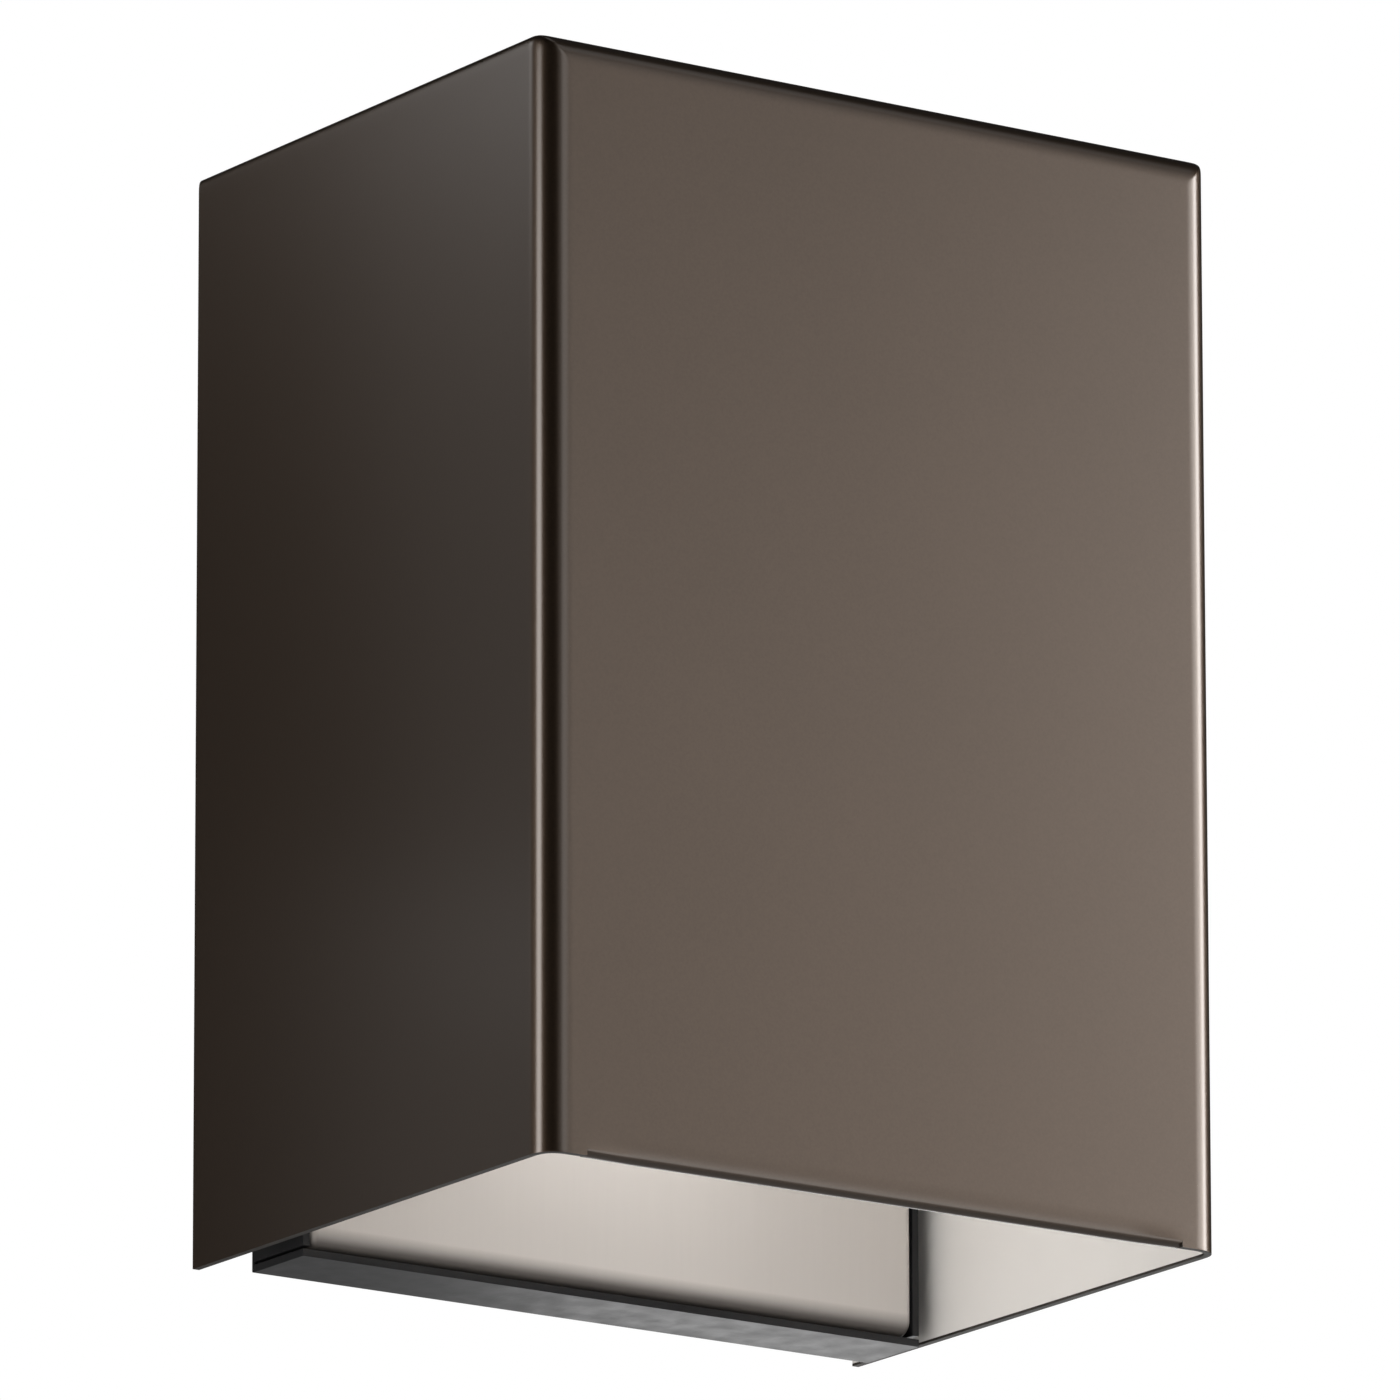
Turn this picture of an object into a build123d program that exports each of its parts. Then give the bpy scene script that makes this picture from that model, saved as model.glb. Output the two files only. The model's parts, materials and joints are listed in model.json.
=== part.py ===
from build123d import *
import os

# Outdoor wall sconce, in millimetres.
# X runs to the right, Y into the wall and Z up. The origin lies on the wall, at the middle of the strap.
# "Out" is a distance from the wall towards the viewer, so a point that is 20 out has Y = -20.

# Clearances
FIT_GAP = 0.3
THREAD_GAP = 0.05
HOLE_GAP = 0.2

# Cover: one folded sheet, open below and behind
COVER_WIDTH = 127.0
COVER_HEIGHT = 177.8
COVER_DEPTH = 99.0
COVER_SHEET = 1.2
COVER_BEND = 3.2
HEM_HEIGHT = 9.0
HEM_GAP = 0.5
HEM_INSET = 7.6
SEAM_ROUND = 1.6

# Tray: folded sheet behind the cover, its flanges facing forward
TRAY_SIDE_GAP = 3.8
TRAY_DEPTH = 16.0
TRAY_SHEET = 1.2
TRAY_BEND = 2.0
TRAY_STANDOFF = 8.0
TRAY_DROP = 1.75
CORNER_SLIT = 0.5

# Lid: pressed pale sheet that closes the tray
LID_SHEET = 1.0
LID_BEND = 2.6
LID_SIDE_BEND = 1.3
LID_RETURN = 6.0
LID_PROUD = 0.4
LID_SCREW_SIDE_INSET = 10.0
LID_SCREW_TOP_INSET = 19.6
LID_SCREW_BOTTOM_INSET = 35.15
LID_SCREW_R = 1.5
LID_SCREW_LENGTH = 8.0
LID_HEAD_R = 2.8
LID_HEAD_HEIGHT = 1.8
STANDOFF_FLATS = 6.0

# Cover fixing: two screws down through the top into a bar under the tray's top flange
COVER_SCREW_INSET = 20.5
COVER_SCREW_R = 2.0
COVER_HEAD_R = 4.0
COVER_HEAD_HEIGHT = 2.5
COVER_HEAD_ROUND = 1.2
SOCKET_FLATS = 2.5
SOCKET_DEPTH = 1.5
SEAL_R = 4.6
SEAL_THICKNESS = 1.2
BAR_THICKNESS = 4.0
BAR_BACK_GAP = 2.3
BAR_END_GAP = 0.8

# Wall side
STRAP_WIDTH = 22.0
STRAP_LENGTH = 112.0
STRAP_THICKNESS = 2.0
STRAP_CORNER = 4.0
STRAP_HOLE_R = 7.0
SLOT_SPACING = 86.1
SLOT_WIDTH = 4.8
SLOT_LENGTH = 12.0
STUD_SPACING = 60.0
STUD_R = 2.0
STUD_PAST_NUT = 2.0
STUD_TIP = 0.5
NUT_FLATS = 7.0
NUT_THICKNESS = 3.2
LOCK_NUT_THICKNESS = 2.2
WASHER_R = 4.5
WASHER_THICKNESS = 0.8
GROUND_SCREW_Z = 17.0
GROUND_SCREW_R = 2.0
GROUND_HEAD_R = 4.0
GROUND_HEAD_HEIGHT = 2.4
HEAD_CHAMFER = 0.8
GASKET_INSET = 6.0
GASKET_WIDTH = 9.0
GASKET_CORNER = 5.0

# Rubber grommets: the supply's in the tray and the lamp leads' in the lid
CABLE_BORE_R = 4.5
CABLE_GROOVE_R = 8.0
CABLE_FLANGE_R = 10.5
CABLE_FLANGE = 1.8
LEAD_BORE_R = 5.6
LEAD_GROOVE_R = 7.6
LEAD_FLANGE_R = 9.4
LEAD_FLANGE = 1.5

# Lamp, lampholder and bracket, on one upright axis
LAMP_OUT = 61.5
LAMP_RIM_R = 25.0
LAMP_RIM_HEIGHT = 6.0
LAMP_BODY_HEIGHT = 40.0
LAMP_NECK_R = 11.0
LAMP_SHOULDER_R = 21.0
LAMP_WALL = 2.4
LAMP_LEDGE = 2.0
FIN_COUNT = 18
FIN_THICKNESS = 1.5
FIN_NECK_R = 15.0
FIN_FOOT = 4.0
BASE_R = 9.5
BASE_HEIGHT = 12.0
BASE_CHAMFER = 1.5
LENS_THICKNESS = 2.6
LENS_RECESS = 0.8
LENS_LEDGE = 2.0
BOARD_THICKNESS = 1.6
CHIP_SIZE = 3.0
CHIP_HEIGHT = 0.7
CHIP_COUNT = 7
CHIP_CIRCLE_R = 11.0
PIN_SPACING = 10.0
PIN_STEM_R = 1.5
PIN_HEAD_R = 2.5
PIN_HEAD_HEIGHT = 2.2
TWIST_ANGLE = 40.0
HALF_TURN = 180.0
HOLDER_R = 14.0
HOLDER_HEIGHT = 16.0
HOLDER_CHAMFER = 1.0
HOLDER_LIFT = 0.6
SHELF_THICKNESS = 3.0
CONTACT_THICKNESS = 0.6
CONTACT_LENGTH = 3.4
CONTACT_WIDTH = 2.6
HOLDER_SCREW_SPACING = 21.0
HOLDER_SCREW_R = 1.5
HOLDER_SCREW_BITE = 8.0
BRACKET_SHEET = 1.5
BRACKET_WIDTH = 32.0
BRACKET_BEND = 3.0
BRACKET_LEG = 25.0
BRACKET_CORNER = 8.0
BRACKET_LEAD_HOLE_R = 6.5
RIVET_SPACING = 18.0
RIVET_DROP = 16.0
RIVET_R = 1.6
RIVET_HEAD_R = 3.0
RIVET_HEAD_HEIGHT = 1.2

# Lamp leads and the terminal block in the tray
LEAD_R = 1.1
LEAD_SPACING = 8.4
LEAD_RISE = 19.0
LEAD_LOOP = 15.0
LEAD_TURN = 4.5
LEAD_SOCKET = 3.0
BLOCK_WIDTH = 24.0
BLOCK_HEIGHT = 14.0
BLOCK_DEPTH = 12.0
BLOCK_CORNER = 1.5
BLOCK_CLIMB = 7.0
BLOCK_TOP_GAP = 3.3
INSERT_R = 2.0
INSERT_BORE_R = 1.3
INSERT_INSET = 2.0
TERMINAL_SCREW_R = 1.5
TERMINAL_SCREW_SPACING = 6.0
TERMINAL_SCREW_SINK = 0.6
BLOCK_SCREW_R = 1.4
BLOCK_HEAD_R = 2.2
BLOCK_HEAD_SINK = 2.2

# Planes and levels that several pieces share
cover_top = COVER_HEIGHT / 2
cover_rim = -COVER_HEIGHT / 2
cover_ceiling = cover_top - COVER_SHEET

tray_front = TRAY_STANDOFF + TRAY_DEPTH
tray_floor = TRAY_STANDOFF + TRAY_SHEET
tray_top = cover_ceiling - FIT_GAP
tray_bottom = cover_rim - TRAY_DROP
tray_height = tray_top - tray_bottom
tray_middle = (tray_top + tray_bottom) / 2
tray_width = COVER_WIDTH - 2 * (COVER_SHEET + TRAY_SIDE_GAP)
tray_inner_width = tray_width - 2 * TRAY_SHEET

bar_top = tray_top - TRAY_SHEET - FIT_GAP
bar_bottom = bar_top - BAR_THICKNESS
cover_screw_out = TRAY_STANDOFF + TRAY_DEPTH / 2
cover_screw_x = tray_width / 2 - COVER_SCREW_INSET
cover_screw_places = [(x, -cover_screw_out) for x in (-cover_screw_x, cover_screw_x)]

lid_front = tray_front + LID_PROUD
lid_back = lid_front - LID_SHEET
lid_top = bar_bottom - FIT_GAP
lid_bottom = tray_bottom + TRAY_SHEET + FIT_GAP
lid_width = tray_inner_width - 2 * FIT_GAP
lid_screw_x = lid_width / 2 - LID_SCREW_SIDE_INSET
lid_screw_zs = (lid_bottom + LID_SCREW_BOTTOM_INSET, lid_top - LID_SCREW_TOP_INSET)
lid_screw_places = [(x, z) for x in (-lid_screw_x, lid_screw_x) for z in lid_screw_zs]

stud_places = [(0, -STUD_SPACING / 2), (0, STUD_SPACING / 2)]
washer_front = tray_floor + WASHER_THICKNESS
nut_front = washer_front + NUT_THICKNESS

# The terminal block hangs from the clamp bar, and the leads, holder and lamp follow below it
lead_xs = (-LEAD_SPACING / 2, LEAD_SPACING / 2)
block_bottom = bar_bottom - BLOCK_TOP_GAP - BLOCK_HEIGHT
block_middle = block_bottom + BLOCK_HEIGHT / 2
block_front = tray_floor + BLOCK_DEPTH
terminal_out = tray_floor + BLOCK_DEPTH / 2
insert_length = BLOCK_HEIGHT - 2 * INSERT_INSET
terminal_screw_places = [
    (x, block_middle + side * TERMINAL_SCREW_SPACING / 2) for x in lead_xs for side in (-1, 1)
]
lead_top_z = block_bottom - BLOCK_CLIMB

holder_top = lead_top_z - LEAD_RISE
holder_bottom = holder_top - HOLDER_HEIGHT
pocket_floor = holder_bottom + SHELF_THICKNESS
pin_head_z = pocket_floor + FIT_GAP
pocket_ceiling = pin_head_z + PIN_HEAD_HEIGHT + FIT_GAP + CONTACT_THICKNESS
bracket_top = holder_top + BRACKET_SHEET
bracket_front = LAMP_OUT + HOLDER_R + BRACKET_SHEET
rivet_places = [(x, bracket_top - RIVET_DROP) for x in (-RIVET_SPACING / 2, RIVET_SPACING / 2)]

lamp_top = holder_bottom - HOLDER_LIFT
lamp_neck_z = lamp_top - BASE_HEIGHT
lamp_face_z = lamp_neck_z - LAMP_BODY_HEIGHT
lens_back_z = lamp_face_z + LENS_RECESS + LENS_THICKNESS
fin_foot_z = lamp_face_z + LAMP_RIM_HEIGHT
shoulder_z = fin_foot_z + FIN_FOOT
board_front_z = shoulder_z - BOARD_THICKNESS

lamp_axis = Axis((0, -LAMP_OUT, 0), (0, 0, 1))
lamp_side = Plane.XZ.offset(LAMP_OUT)


def lamp_level(z):
    """Level plane at height z, centred on the lamp's axis."""
    return Plane(origin=(0, -LAMP_OUT, z))


def twist_path(start):
    """Arc that a lamp pin follows from its locked place to its way out."""
    return Edge.make_circle(PIN_SPACING / 2, start_angle=start - TWIST_ANGLE, end_angle=start)


twist_paths = [twist_path(start) for start in (0, HALF_TURN)]
way_out_places = [path @ 0 for path in twist_paths]

# Cover shell: a box with rounded folds, and tighter seams at the sides of its top, open below and behind
with BuildPart() as cover_shell:
    with BuildSketch(Plane.XY.offset(cover_rim)):
        with Locations((0, -COVER_DEPTH / 2)):
            Rectangle(COVER_WIDTH, COVER_DEPTH)
    extrude(amount=COVER_HEIGHT)
    upright_folds = cover_shell.edges().filter_by(Axis.Z).group_by(Axis.Y)[0]
    front_fold = cover_shell.faces().sort_by(Axis.Z)[-1].edges().sort_by(Axis.Y)[0]
    fillet(upright_folds + [front_fold], COVER_BEND)
    mouth = cover_shell.faces().sort_by(Axis.Z)[0]
    back = cover_shell.faces().sort_by(Axis.Y)[-1]
    offset(amount=-COVER_SHEET, openings=[mouth, back])
    fillet(cover_shell.faces().sort_by(Axis.Z)[-1].edges().filter_by(Axis.Y), SEAM_ROUND)
    # Hem: the front's lower edge is folded in and up, short of both side folds
    fold_r = COVER_SHEET + HEM_GAP / 2
    hem_half = COVER_WIDTH / 2 - HEM_INSET
    with BuildSketch(Plane.YZ):
        with Locations((-COVER_DEPTH, cover_rim)):
            Rectangle(COVER_SHEET, fold_r, align=Align.MIN)
    extrude(amount=hem_half, both=True, mode=Mode.SUBTRACT)
    with BuildSketch(Plane.YZ):
        with Locations((fold_r - COVER_DEPTH, cover_rim + fold_r)):
            Circle(fold_r)
            Circle(HEM_GAP / 2, mode=Mode.SUBTRACT)
            Rectangle(2 * fold_r, fold_r, align=(Align.CENTER, Align.MIN), mode=Mode.SUBTRACT)
        with Locations((fold_r + HEM_GAP / 2 - COVER_DEPTH, cover_rim + fold_r)):
            Rectangle(COVER_SHEET, HEM_HEIGHT - fold_r, align=Align.MIN)
    extrude(amount=hem_half, both=True)
    with BuildSketch(Plane.XY.offset(cover_top)):
        with Locations(*cover_screw_places):
            Circle(COVER_SCREW_R + HOLE_GAP)
    extrude(amount=-2 * COVER_SHEET, mode=Mode.SUBTRACT)

# Base tray: folded at the back, with slit corners and two slots in its top flange
with BuildPart() as base_tray:
    with BuildSketch(Plane.XZ.offset(TRAY_STANDOFF)):
        with Locations((0, tray_middle)):
            Rectangle(tray_width, tray_height)
    extrude(amount=TRAY_DEPTH)
    fillet(base_tray.faces().sort_by(Axis.Y)[-1].edges(), TRAY_BEND)
    offset(amount=-TRAY_SHEET, openings=base_tray.faces().sort_by(Axis.Y)[0])
    slit_x = (tray_width - TRAY_SHEET) / 2
    slit_z = (tray_height - CORNER_SLIT) / 2 - TRAY_SHEET
    with BuildSketch(Plane.XZ.offset(tray_front)):
        with Locations((0, tray_middle)):
            with GridLocations(2 * slit_x, 2 * slit_z, 2, 2):
                Rectangle(TRAY_SHEET, CORNER_SLIT)
    extrude(amount=TRAY_BEND - TRAY_DEPTH, mode=Mode.SUBTRACT)
    slot_r = COVER_SCREW_R + 2 * HOLE_GAP
    with BuildSketch(Plane.XY.offset(tray_top)):
        with Locations(*cover_screw_places):
            Circle(slot_r)
            Rectangle(2 * slot_r, TRAY_DEPTH, align=(Align.CENTER, Align.MAX))
    extrude(amount=-2 * TRAY_SHEET, mode=Mode.SUBTRACT)
    with BuildSketch(Plane.XZ.offset(TRAY_STANDOFF)):
        Circle(CABLE_GROOVE_R)
        with Locations(*stud_places):
            Circle(STUD_R + HOLE_GAP)
        with Locations((0, block_middle)):
            Circle(BLOCK_SCREW_R + THREAD_GAP)
    extrude(amount=2 * TRAY_SHEET, mode=Mode.SUBTRACT)

# Reflector lid: shallow pressed tray, open towards the wall
with BuildPart() as reflector_lid:
    with BuildSketch(Plane.XZ.offset(lid_front)):
        with Locations((0, (lid_top + lid_bottom) / 2)):
            Rectangle(lid_width, lid_top - lid_bottom)
    extrude(amount=-LID_RETURN)
    fillet(reflector_lid.faces().sort_by(Axis.Y)[0].edges().filter_by(Axis.X), LID_BEND)
    offset(amount=-LID_SHEET, openings=reflector_lid.faces().sort_by(Axis.Y)[-1])
    lid_sides = reflector_lid.faces().filter_by(Axis.X).sort_by(Axis.X)
    for side in (lid_sides[0], lid_sides[-1]):
        fillet(side.edges().sort_by(Axis.Y)[:-1], LID_SIDE_BEND)
    with BuildSketch(Plane.XZ.offset(lid_front)):
        with Locations(*lid_screw_places):
            Circle(LID_SCREW_R + HOLE_GAP)
        with Locations((0, lead_top_z)):
            Circle(LEAD_GROOVE_R)
        with Locations(*rivet_places):
            Circle(RIVET_R)
    extrude(amount=-2 * LID_SHEET, mode=Mode.SUBTRACT)

# Standoffs and screws that hold the lid
with BuildPart() as lid_standoffs:
    with BuildSketch(Plane.XZ.offset(tray_floor)):
        with Locations(*lid_screw_places):
            RegularPolygon(STANDOFF_FLATS / 2, 6, major_radius=False)
            Circle(LID_SCREW_R + THREAD_GAP, mode=Mode.SUBTRACT)
    extrude(amount=lid_back - tray_floor)

with BuildPart() as lid_screws:
    with BuildSketch(Plane.XZ.offset(lid_front)):
        with Locations(*lid_screw_places):
            Circle(LID_HEAD_R)
    extrude(amount=LID_HEAD_HEIGHT)
    chamfer(lid_screws.edges().group_by(Axis.Y)[0], HEAD_CHAMFER)
    with BuildSketch(Plane.XZ.offset(lid_front)):
        with Locations(*lid_screw_places):
            Circle(LID_SCREW_R)
    extrude(amount=-LID_SCREW_LENGTH)

# Clamp bar: closes the gap over the lid and takes both cover screws
with BuildPart() as clamp_bar:
    with BuildSketch(Plane.XY.offset(bar_bottom)):
        with Locations((0, -tray_front)):
            bar_depth = TRAY_DEPTH - TRAY_SHEET - BAR_BACK_GAP
            Rectangle(tray_inner_width - 2 * BAR_END_GAP, bar_depth, align=(Align.CENTER, Align.MIN))
        with Locations(*cover_screw_places):
            Circle(COVER_SCREW_R + THREAD_GAP, mode=Mode.SUBTRACT)
    extrude(amount=BAR_THICKNESS)

with BuildPart() as cover_washers:
    with BuildSketch(Plane.XY.offset(cover_top)):
        with Locations(*cover_screw_places):
            Circle(SEAL_R)
            Circle(COVER_SCREW_R + HOLE_GAP, mode=Mode.SUBTRACT)
    extrude(amount=SEAL_THICKNESS)

# Cover screws: round heads with a hexagon socket, tips level with the bar's underside
head_z = cover_top + SEAL_THICKNESS
cover_screws = {}
for side, screw_x in (("left", -cover_screw_x), ("right", cover_screw_x)):
    with BuildPart() as cover_screw:
        with BuildSketch(Plane((screw_x, -cover_screw_out, head_z))):
            Circle(COVER_HEAD_R)
        extrude(amount=COVER_HEAD_HEIGHT)
        fillet(cover_screw.edges().group_by(Axis.Z)[-1], COVER_HEAD_ROUND)
        with BuildSketch(Plane((screw_x, -cover_screw_out, bar_bottom + FIT_GAP))):
            Circle(COVER_SCREW_R)
        extrude(amount=head_z - bar_bottom - FIT_GAP)
        with BuildSketch(Plane((screw_x, -cover_screw_out, head_z + COVER_HEAD_HEIGHT))):
            RegularPolygon(SOCKET_FLATS / 2, 6, major_radius=False)
        extrude(amount=-SOCKET_DEPTH, mode=Mode.SUBTRACT)
    cover_screws[f"cover_screw_{side}"] = cover_screw

# Mounting strap: upright, slotted for the wall box, with a centre hole for the supply
with BuildPart() as mounting_strap:
    with BuildSketch(Plane.XZ):
        RectangleRounded(STRAP_WIDTH, STRAP_LENGTH, STRAP_CORNER)
        Circle(STRAP_HOLE_R, mode=Mode.SUBTRACT)
        with Locations((0, -SLOT_SPACING / 2), (0, SLOT_SPACING / 2)):
            SlotOverall(SLOT_LENGTH, SLOT_WIDTH, rotation=90, mode=Mode.SUBTRACT)
        with Locations(*stud_places):
            Circle(STUD_R + THREAD_GAP, mode=Mode.SUBTRACT)
        with Locations((0, GROUND_SCREW_Z)):
            Circle(GROUND_SCREW_R + THREAD_GAP, mode=Mode.SUBTRACT)
    extrude(amount=STRAP_THICKNESS)

with BuildPart() as strap_studs:
    with BuildSketch(Plane.XZ):
        with Locations(*stud_places):
            Circle(STUD_R)
    extrude(amount=nut_front + STUD_PAST_NUT)
    chamfer(strap_studs.edges().group_by(Axis.Y)[0], STUD_TIP)

with BuildPart() as stud_lock_nuts:
    with BuildSketch(Plane.XZ.offset(STRAP_THICKNESS)):
        with Locations(*stud_places):
            RegularPolygon(NUT_FLATS / 2, 6, major_radius=False)
            Circle(STUD_R + THREAD_GAP, mode=Mode.SUBTRACT)
    extrude(amount=LOCK_NUT_THICKNESS)

with BuildPart() as tray_washers:
    with BuildSketch(Plane.XZ.offset(tray_floor)):
        with Locations(*stud_places):
            Circle(WASHER_R)
            Circle(STUD_R + HOLE_GAP, mode=Mode.SUBTRACT)
    extrude(amount=WASHER_THICKNESS)

with BuildPart() as tray_nuts:
    with BuildSketch(Plane.XZ.offset(washer_front)):
        with Locations(*stud_places):
            RegularPolygon(NUT_FLATS / 2, 6, major_radius=False)
            Circle(STUD_R + THREAD_GAP, mode=Mode.SUBTRACT)
    extrude(amount=NUT_THICKNESS)

with BuildPart() as ground_screw:
    with BuildSketch(Plane.XZ.offset(STRAP_THICKNESS)):
        with Locations((0, GROUND_SCREW_Z)):
            Circle(GROUND_HEAD_R)
    extrude(amount=GROUND_HEAD_HEIGHT)
    chamfer(ground_screw.edges().group_by(Axis.Y)[0], HEAD_CHAMFER)
    with BuildSketch(Plane.XZ):
        with Locations((0, GROUND_SCREW_Z)):
            Circle(GROUND_SCREW_R)
    extrude(amount=STRAP_THICKNESS)

# Wall gasket: foam ring between the tray's back and the wall
with BuildPart() as wall_gasket:
    ring_width = tray_width - 2 * GASKET_INSET
    ring_height = tray_height - 2 * GASKET_INSET
    with BuildSketch(Plane.XZ):
        with Locations((0, tray_middle)):
            RectangleRounded(ring_width, ring_height, GASKET_CORNER)
            Rectangle(ring_width - 2 * GASKET_WIDTH, ring_height - 2 * GASKET_WIDTH, mode=Mode.SUBTRACT)
    extrude(amount=TRAY_STANDOFF)

# Grommets: a sleeve with a flange on each side of its sheet
with BuildPart() as cable_grommet:
    with BuildSketch(Plane.XZ.offset(TRAY_STANDOFF - CABLE_FLANGE)):
        Circle(CABLE_FLANGE_R)
        Circle(CABLE_BORE_R, mode=Mode.SUBTRACT)
    extrude(amount=CABLE_FLANGE)
    with BuildSketch(Plane.XZ.offset(TRAY_STANDOFF)):
        Circle(CABLE_GROOVE_R)
        Circle(CABLE_BORE_R, mode=Mode.SUBTRACT)
    extrude(amount=TRAY_SHEET)
    with BuildSketch(Plane.XZ.offset(tray_floor)):
        Circle(CABLE_FLANGE_R)
        Circle(CABLE_BORE_R, mode=Mode.SUBTRACT)
    extrude(amount=CABLE_FLANGE)

with BuildPart() as lead_grommet:
    with BuildSketch(Plane.XZ.offset(lid_back - LEAD_FLANGE)):
        with Locations((0, lead_top_z)):
            Circle(LEAD_FLANGE_R)
            Circle(LEAD_BORE_R, mode=Mode.SUBTRACT)
    extrude(amount=LEAD_FLANGE)
    with BuildSketch(Plane.XZ.offset(lid_back)):
        with Locations((0, lead_top_z)):
            Circle(LEAD_GROOVE_R)
            Circle(LEAD_BORE_R, mode=Mode.SUBTRACT)
    extrude(amount=LID_SHEET)
    with BuildSketch(Plane.XZ.offset(lid_front)):
        with Locations((0, lead_top_z)):
            Circle(LEAD_FLANGE_R)
            Circle(LEAD_BORE_R, mode=Mode.SUBTRACT)
    extrude(amount=LEAD_FLANGE)

# Terminal block: two poles, lamp leads from below and the supply from above
with BuildPart() as terminal_block:
    with BuildSketch(Plane.XZ.offset(tray_floor)):
        with Locations((0, block_middle)):
            RectangleRounded(BLOCK_WIDTH, BLOCK_HEIGHT, BLOCK_CORNER)
    extrude(amount=BLOCK_DEPTH)
    with BuildSketch(Plane((0, -terminal_out, block_bottom))):
        with Locations(*[(x, 0) for x in lead_xs]):
            Circle(INSERT_R)
    extrude(amount=BLOCK_HEIGHT, mode=Mode.SUBTRACT)
    with BuildSketch(Plane.XZ.offset(block_front)):
        with Locations(*terminal_screw_places):
            Circle(TERMINAL_SCREW_R + THREAD_GAP)
    extrude(amount=terminal_out - block_front, mode=Mode.SUBTRACT)
    with BuildSketch(Plane.XZ.offset(block_front)):
        with Locations((0, block_middle)):
            Circle(BLOCK_SCREW_R + HOLE_GAP)
    extrude(amount=-BLOCK_DEPTH, mode=Mode.SUBTRACT)
    with BuildSketch(Plane.XZ.offset(block_front)):
        with Locations((0, block_middle)):
            Circle(BLOCK_HEAD_R + HOLE_GAP)
    extrude(amount=-BLOCK_HEAD_SINK, mode=Mode.SUBTRACT)

with BuildPart() as terminal_inserts:
    with BuildSketch(Plane((0, -terminal_out, block_bottom + INSERT_INSET))):
        with Locations(*[(x, 0) for x in lead_xs]):
            Circle(INSERT_R)
            Circle(INSERT_BORE_R, mode=Mode.SUBTRACT)
    extrude(amount=insert_length)

with BuildPart() as terminal_screws:
    with BuildSketch(Plane.XZ.offset(terminal_out + INSERT_R)):
        with Locations(*terminal_screw_places):
            Circle(TERMINAL_SCREW_R)
    extrude(amount=block_front - TERMINAL_SCREW_SINK - terminal_out - INSERT_R)

with BuildPart() as terminal_fixing_screw:
    with BuildSketch(Plane.XZ.offset(TRAY_STANDOFF)):
        with Locations((0, block_middle)):
            Circle(BLOCK_SCREW_R)
    extrude(amount=block_front - BLOCK_HEAD_SINK - TRAY_STANDOFF)
    with BuildSketch(Plane.XZ.offset(block_front - BLOCK_HEAD_SINK)):
        with Locations((0, block_middle)):
            Circle(BLOCK_HEAD_R)
    extrude(amount=BLOCK_HEAD_SINK - TERMINAL_SCREW_SINK)

# Lamp bracket: an angle riveted to the lid, with the lampholder under its shelf
with BuildPart() as lamp_bracket:
    with BuildSketch(Plane.YZ):
        with Locations((-lid_front, bracket_top)):
            Rectangle(bracket_front - lid_front, BRACKET_SHEET, align=Align.MAX)
            Rectangle(BRACKET_SHEET, BRACKET_LEG, align=Align.MAX)
    extrude(amount=BRACKET_WIDTH / 2, both=True)
    across = lamp_bracket.edges().filter_by(Axis.X).group_by(Axis.Y)
    outer_bend = across[-1].sort_by(Axis.Z)[-1]
    inner_bend = across[-2].sort_by(Axis.Z)[-1]
    fillet(outer_bend, BRACKET_BEND)
    fillet(inner_bend, BRACKET_BEND - BRACKET_SHEET)
    fillet(lamp_bracket.edges().filter_by(Axis.Z).group_by(Axis.Y)[0], BRACKET_CORNER)
    with BuildSketch(lamp_level(bracket_top)):
        Circle(BRACKET_LEAD_HOLE_R)
        with Locations((0, -HOLDER_SCREW_SPACING / 2), (0, HOLDER_SCREW_SPACING / 2)):
            Circle(HOLDER_SCREW_R + HOLE_GAP)
    extrude(amount=-2 * BRACKET_SHEET, mode=Mode.SUBTRACT)
    with BuildSketch(Plane.XZ.offset(lid_front)):
        with Locations(*rivet_places):
            Circle(RIVET_R)
    extrude(amount=2 * BRACKET_SHEET, mode=Mode.SUBTRACT)

with BuildPart() as bracket_rivets:
    rivet_front = lid_front + BRACKET_SHEET
    with BuildSketch(Plane.XZ.offset(lid_back)):
        with Locations(*rivet_places):
            Circle(RIVET_R)
    extrude(amount=rivet_front - lid_back)
    with BuildSketch(Plane.XZ.offset(rivet_front)):
        with Locations(*rivet_places):
            Circle(RIVET_HEAD_R)
    extrude(amount=RIVET_HEAD_HEIGHT)
    chamfer(bracket_rivets.edges().group_by(Axis.Y)[0], HEAD_CHAMFER)
    with BuildSketch(Plane.XZ.offset(lid_back)):
        with Locations(*rivet_places):
            Circle(RIVET_HEAD_R)
    extrude(amount=-RIVET_HEAD_HEIGHT)

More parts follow.
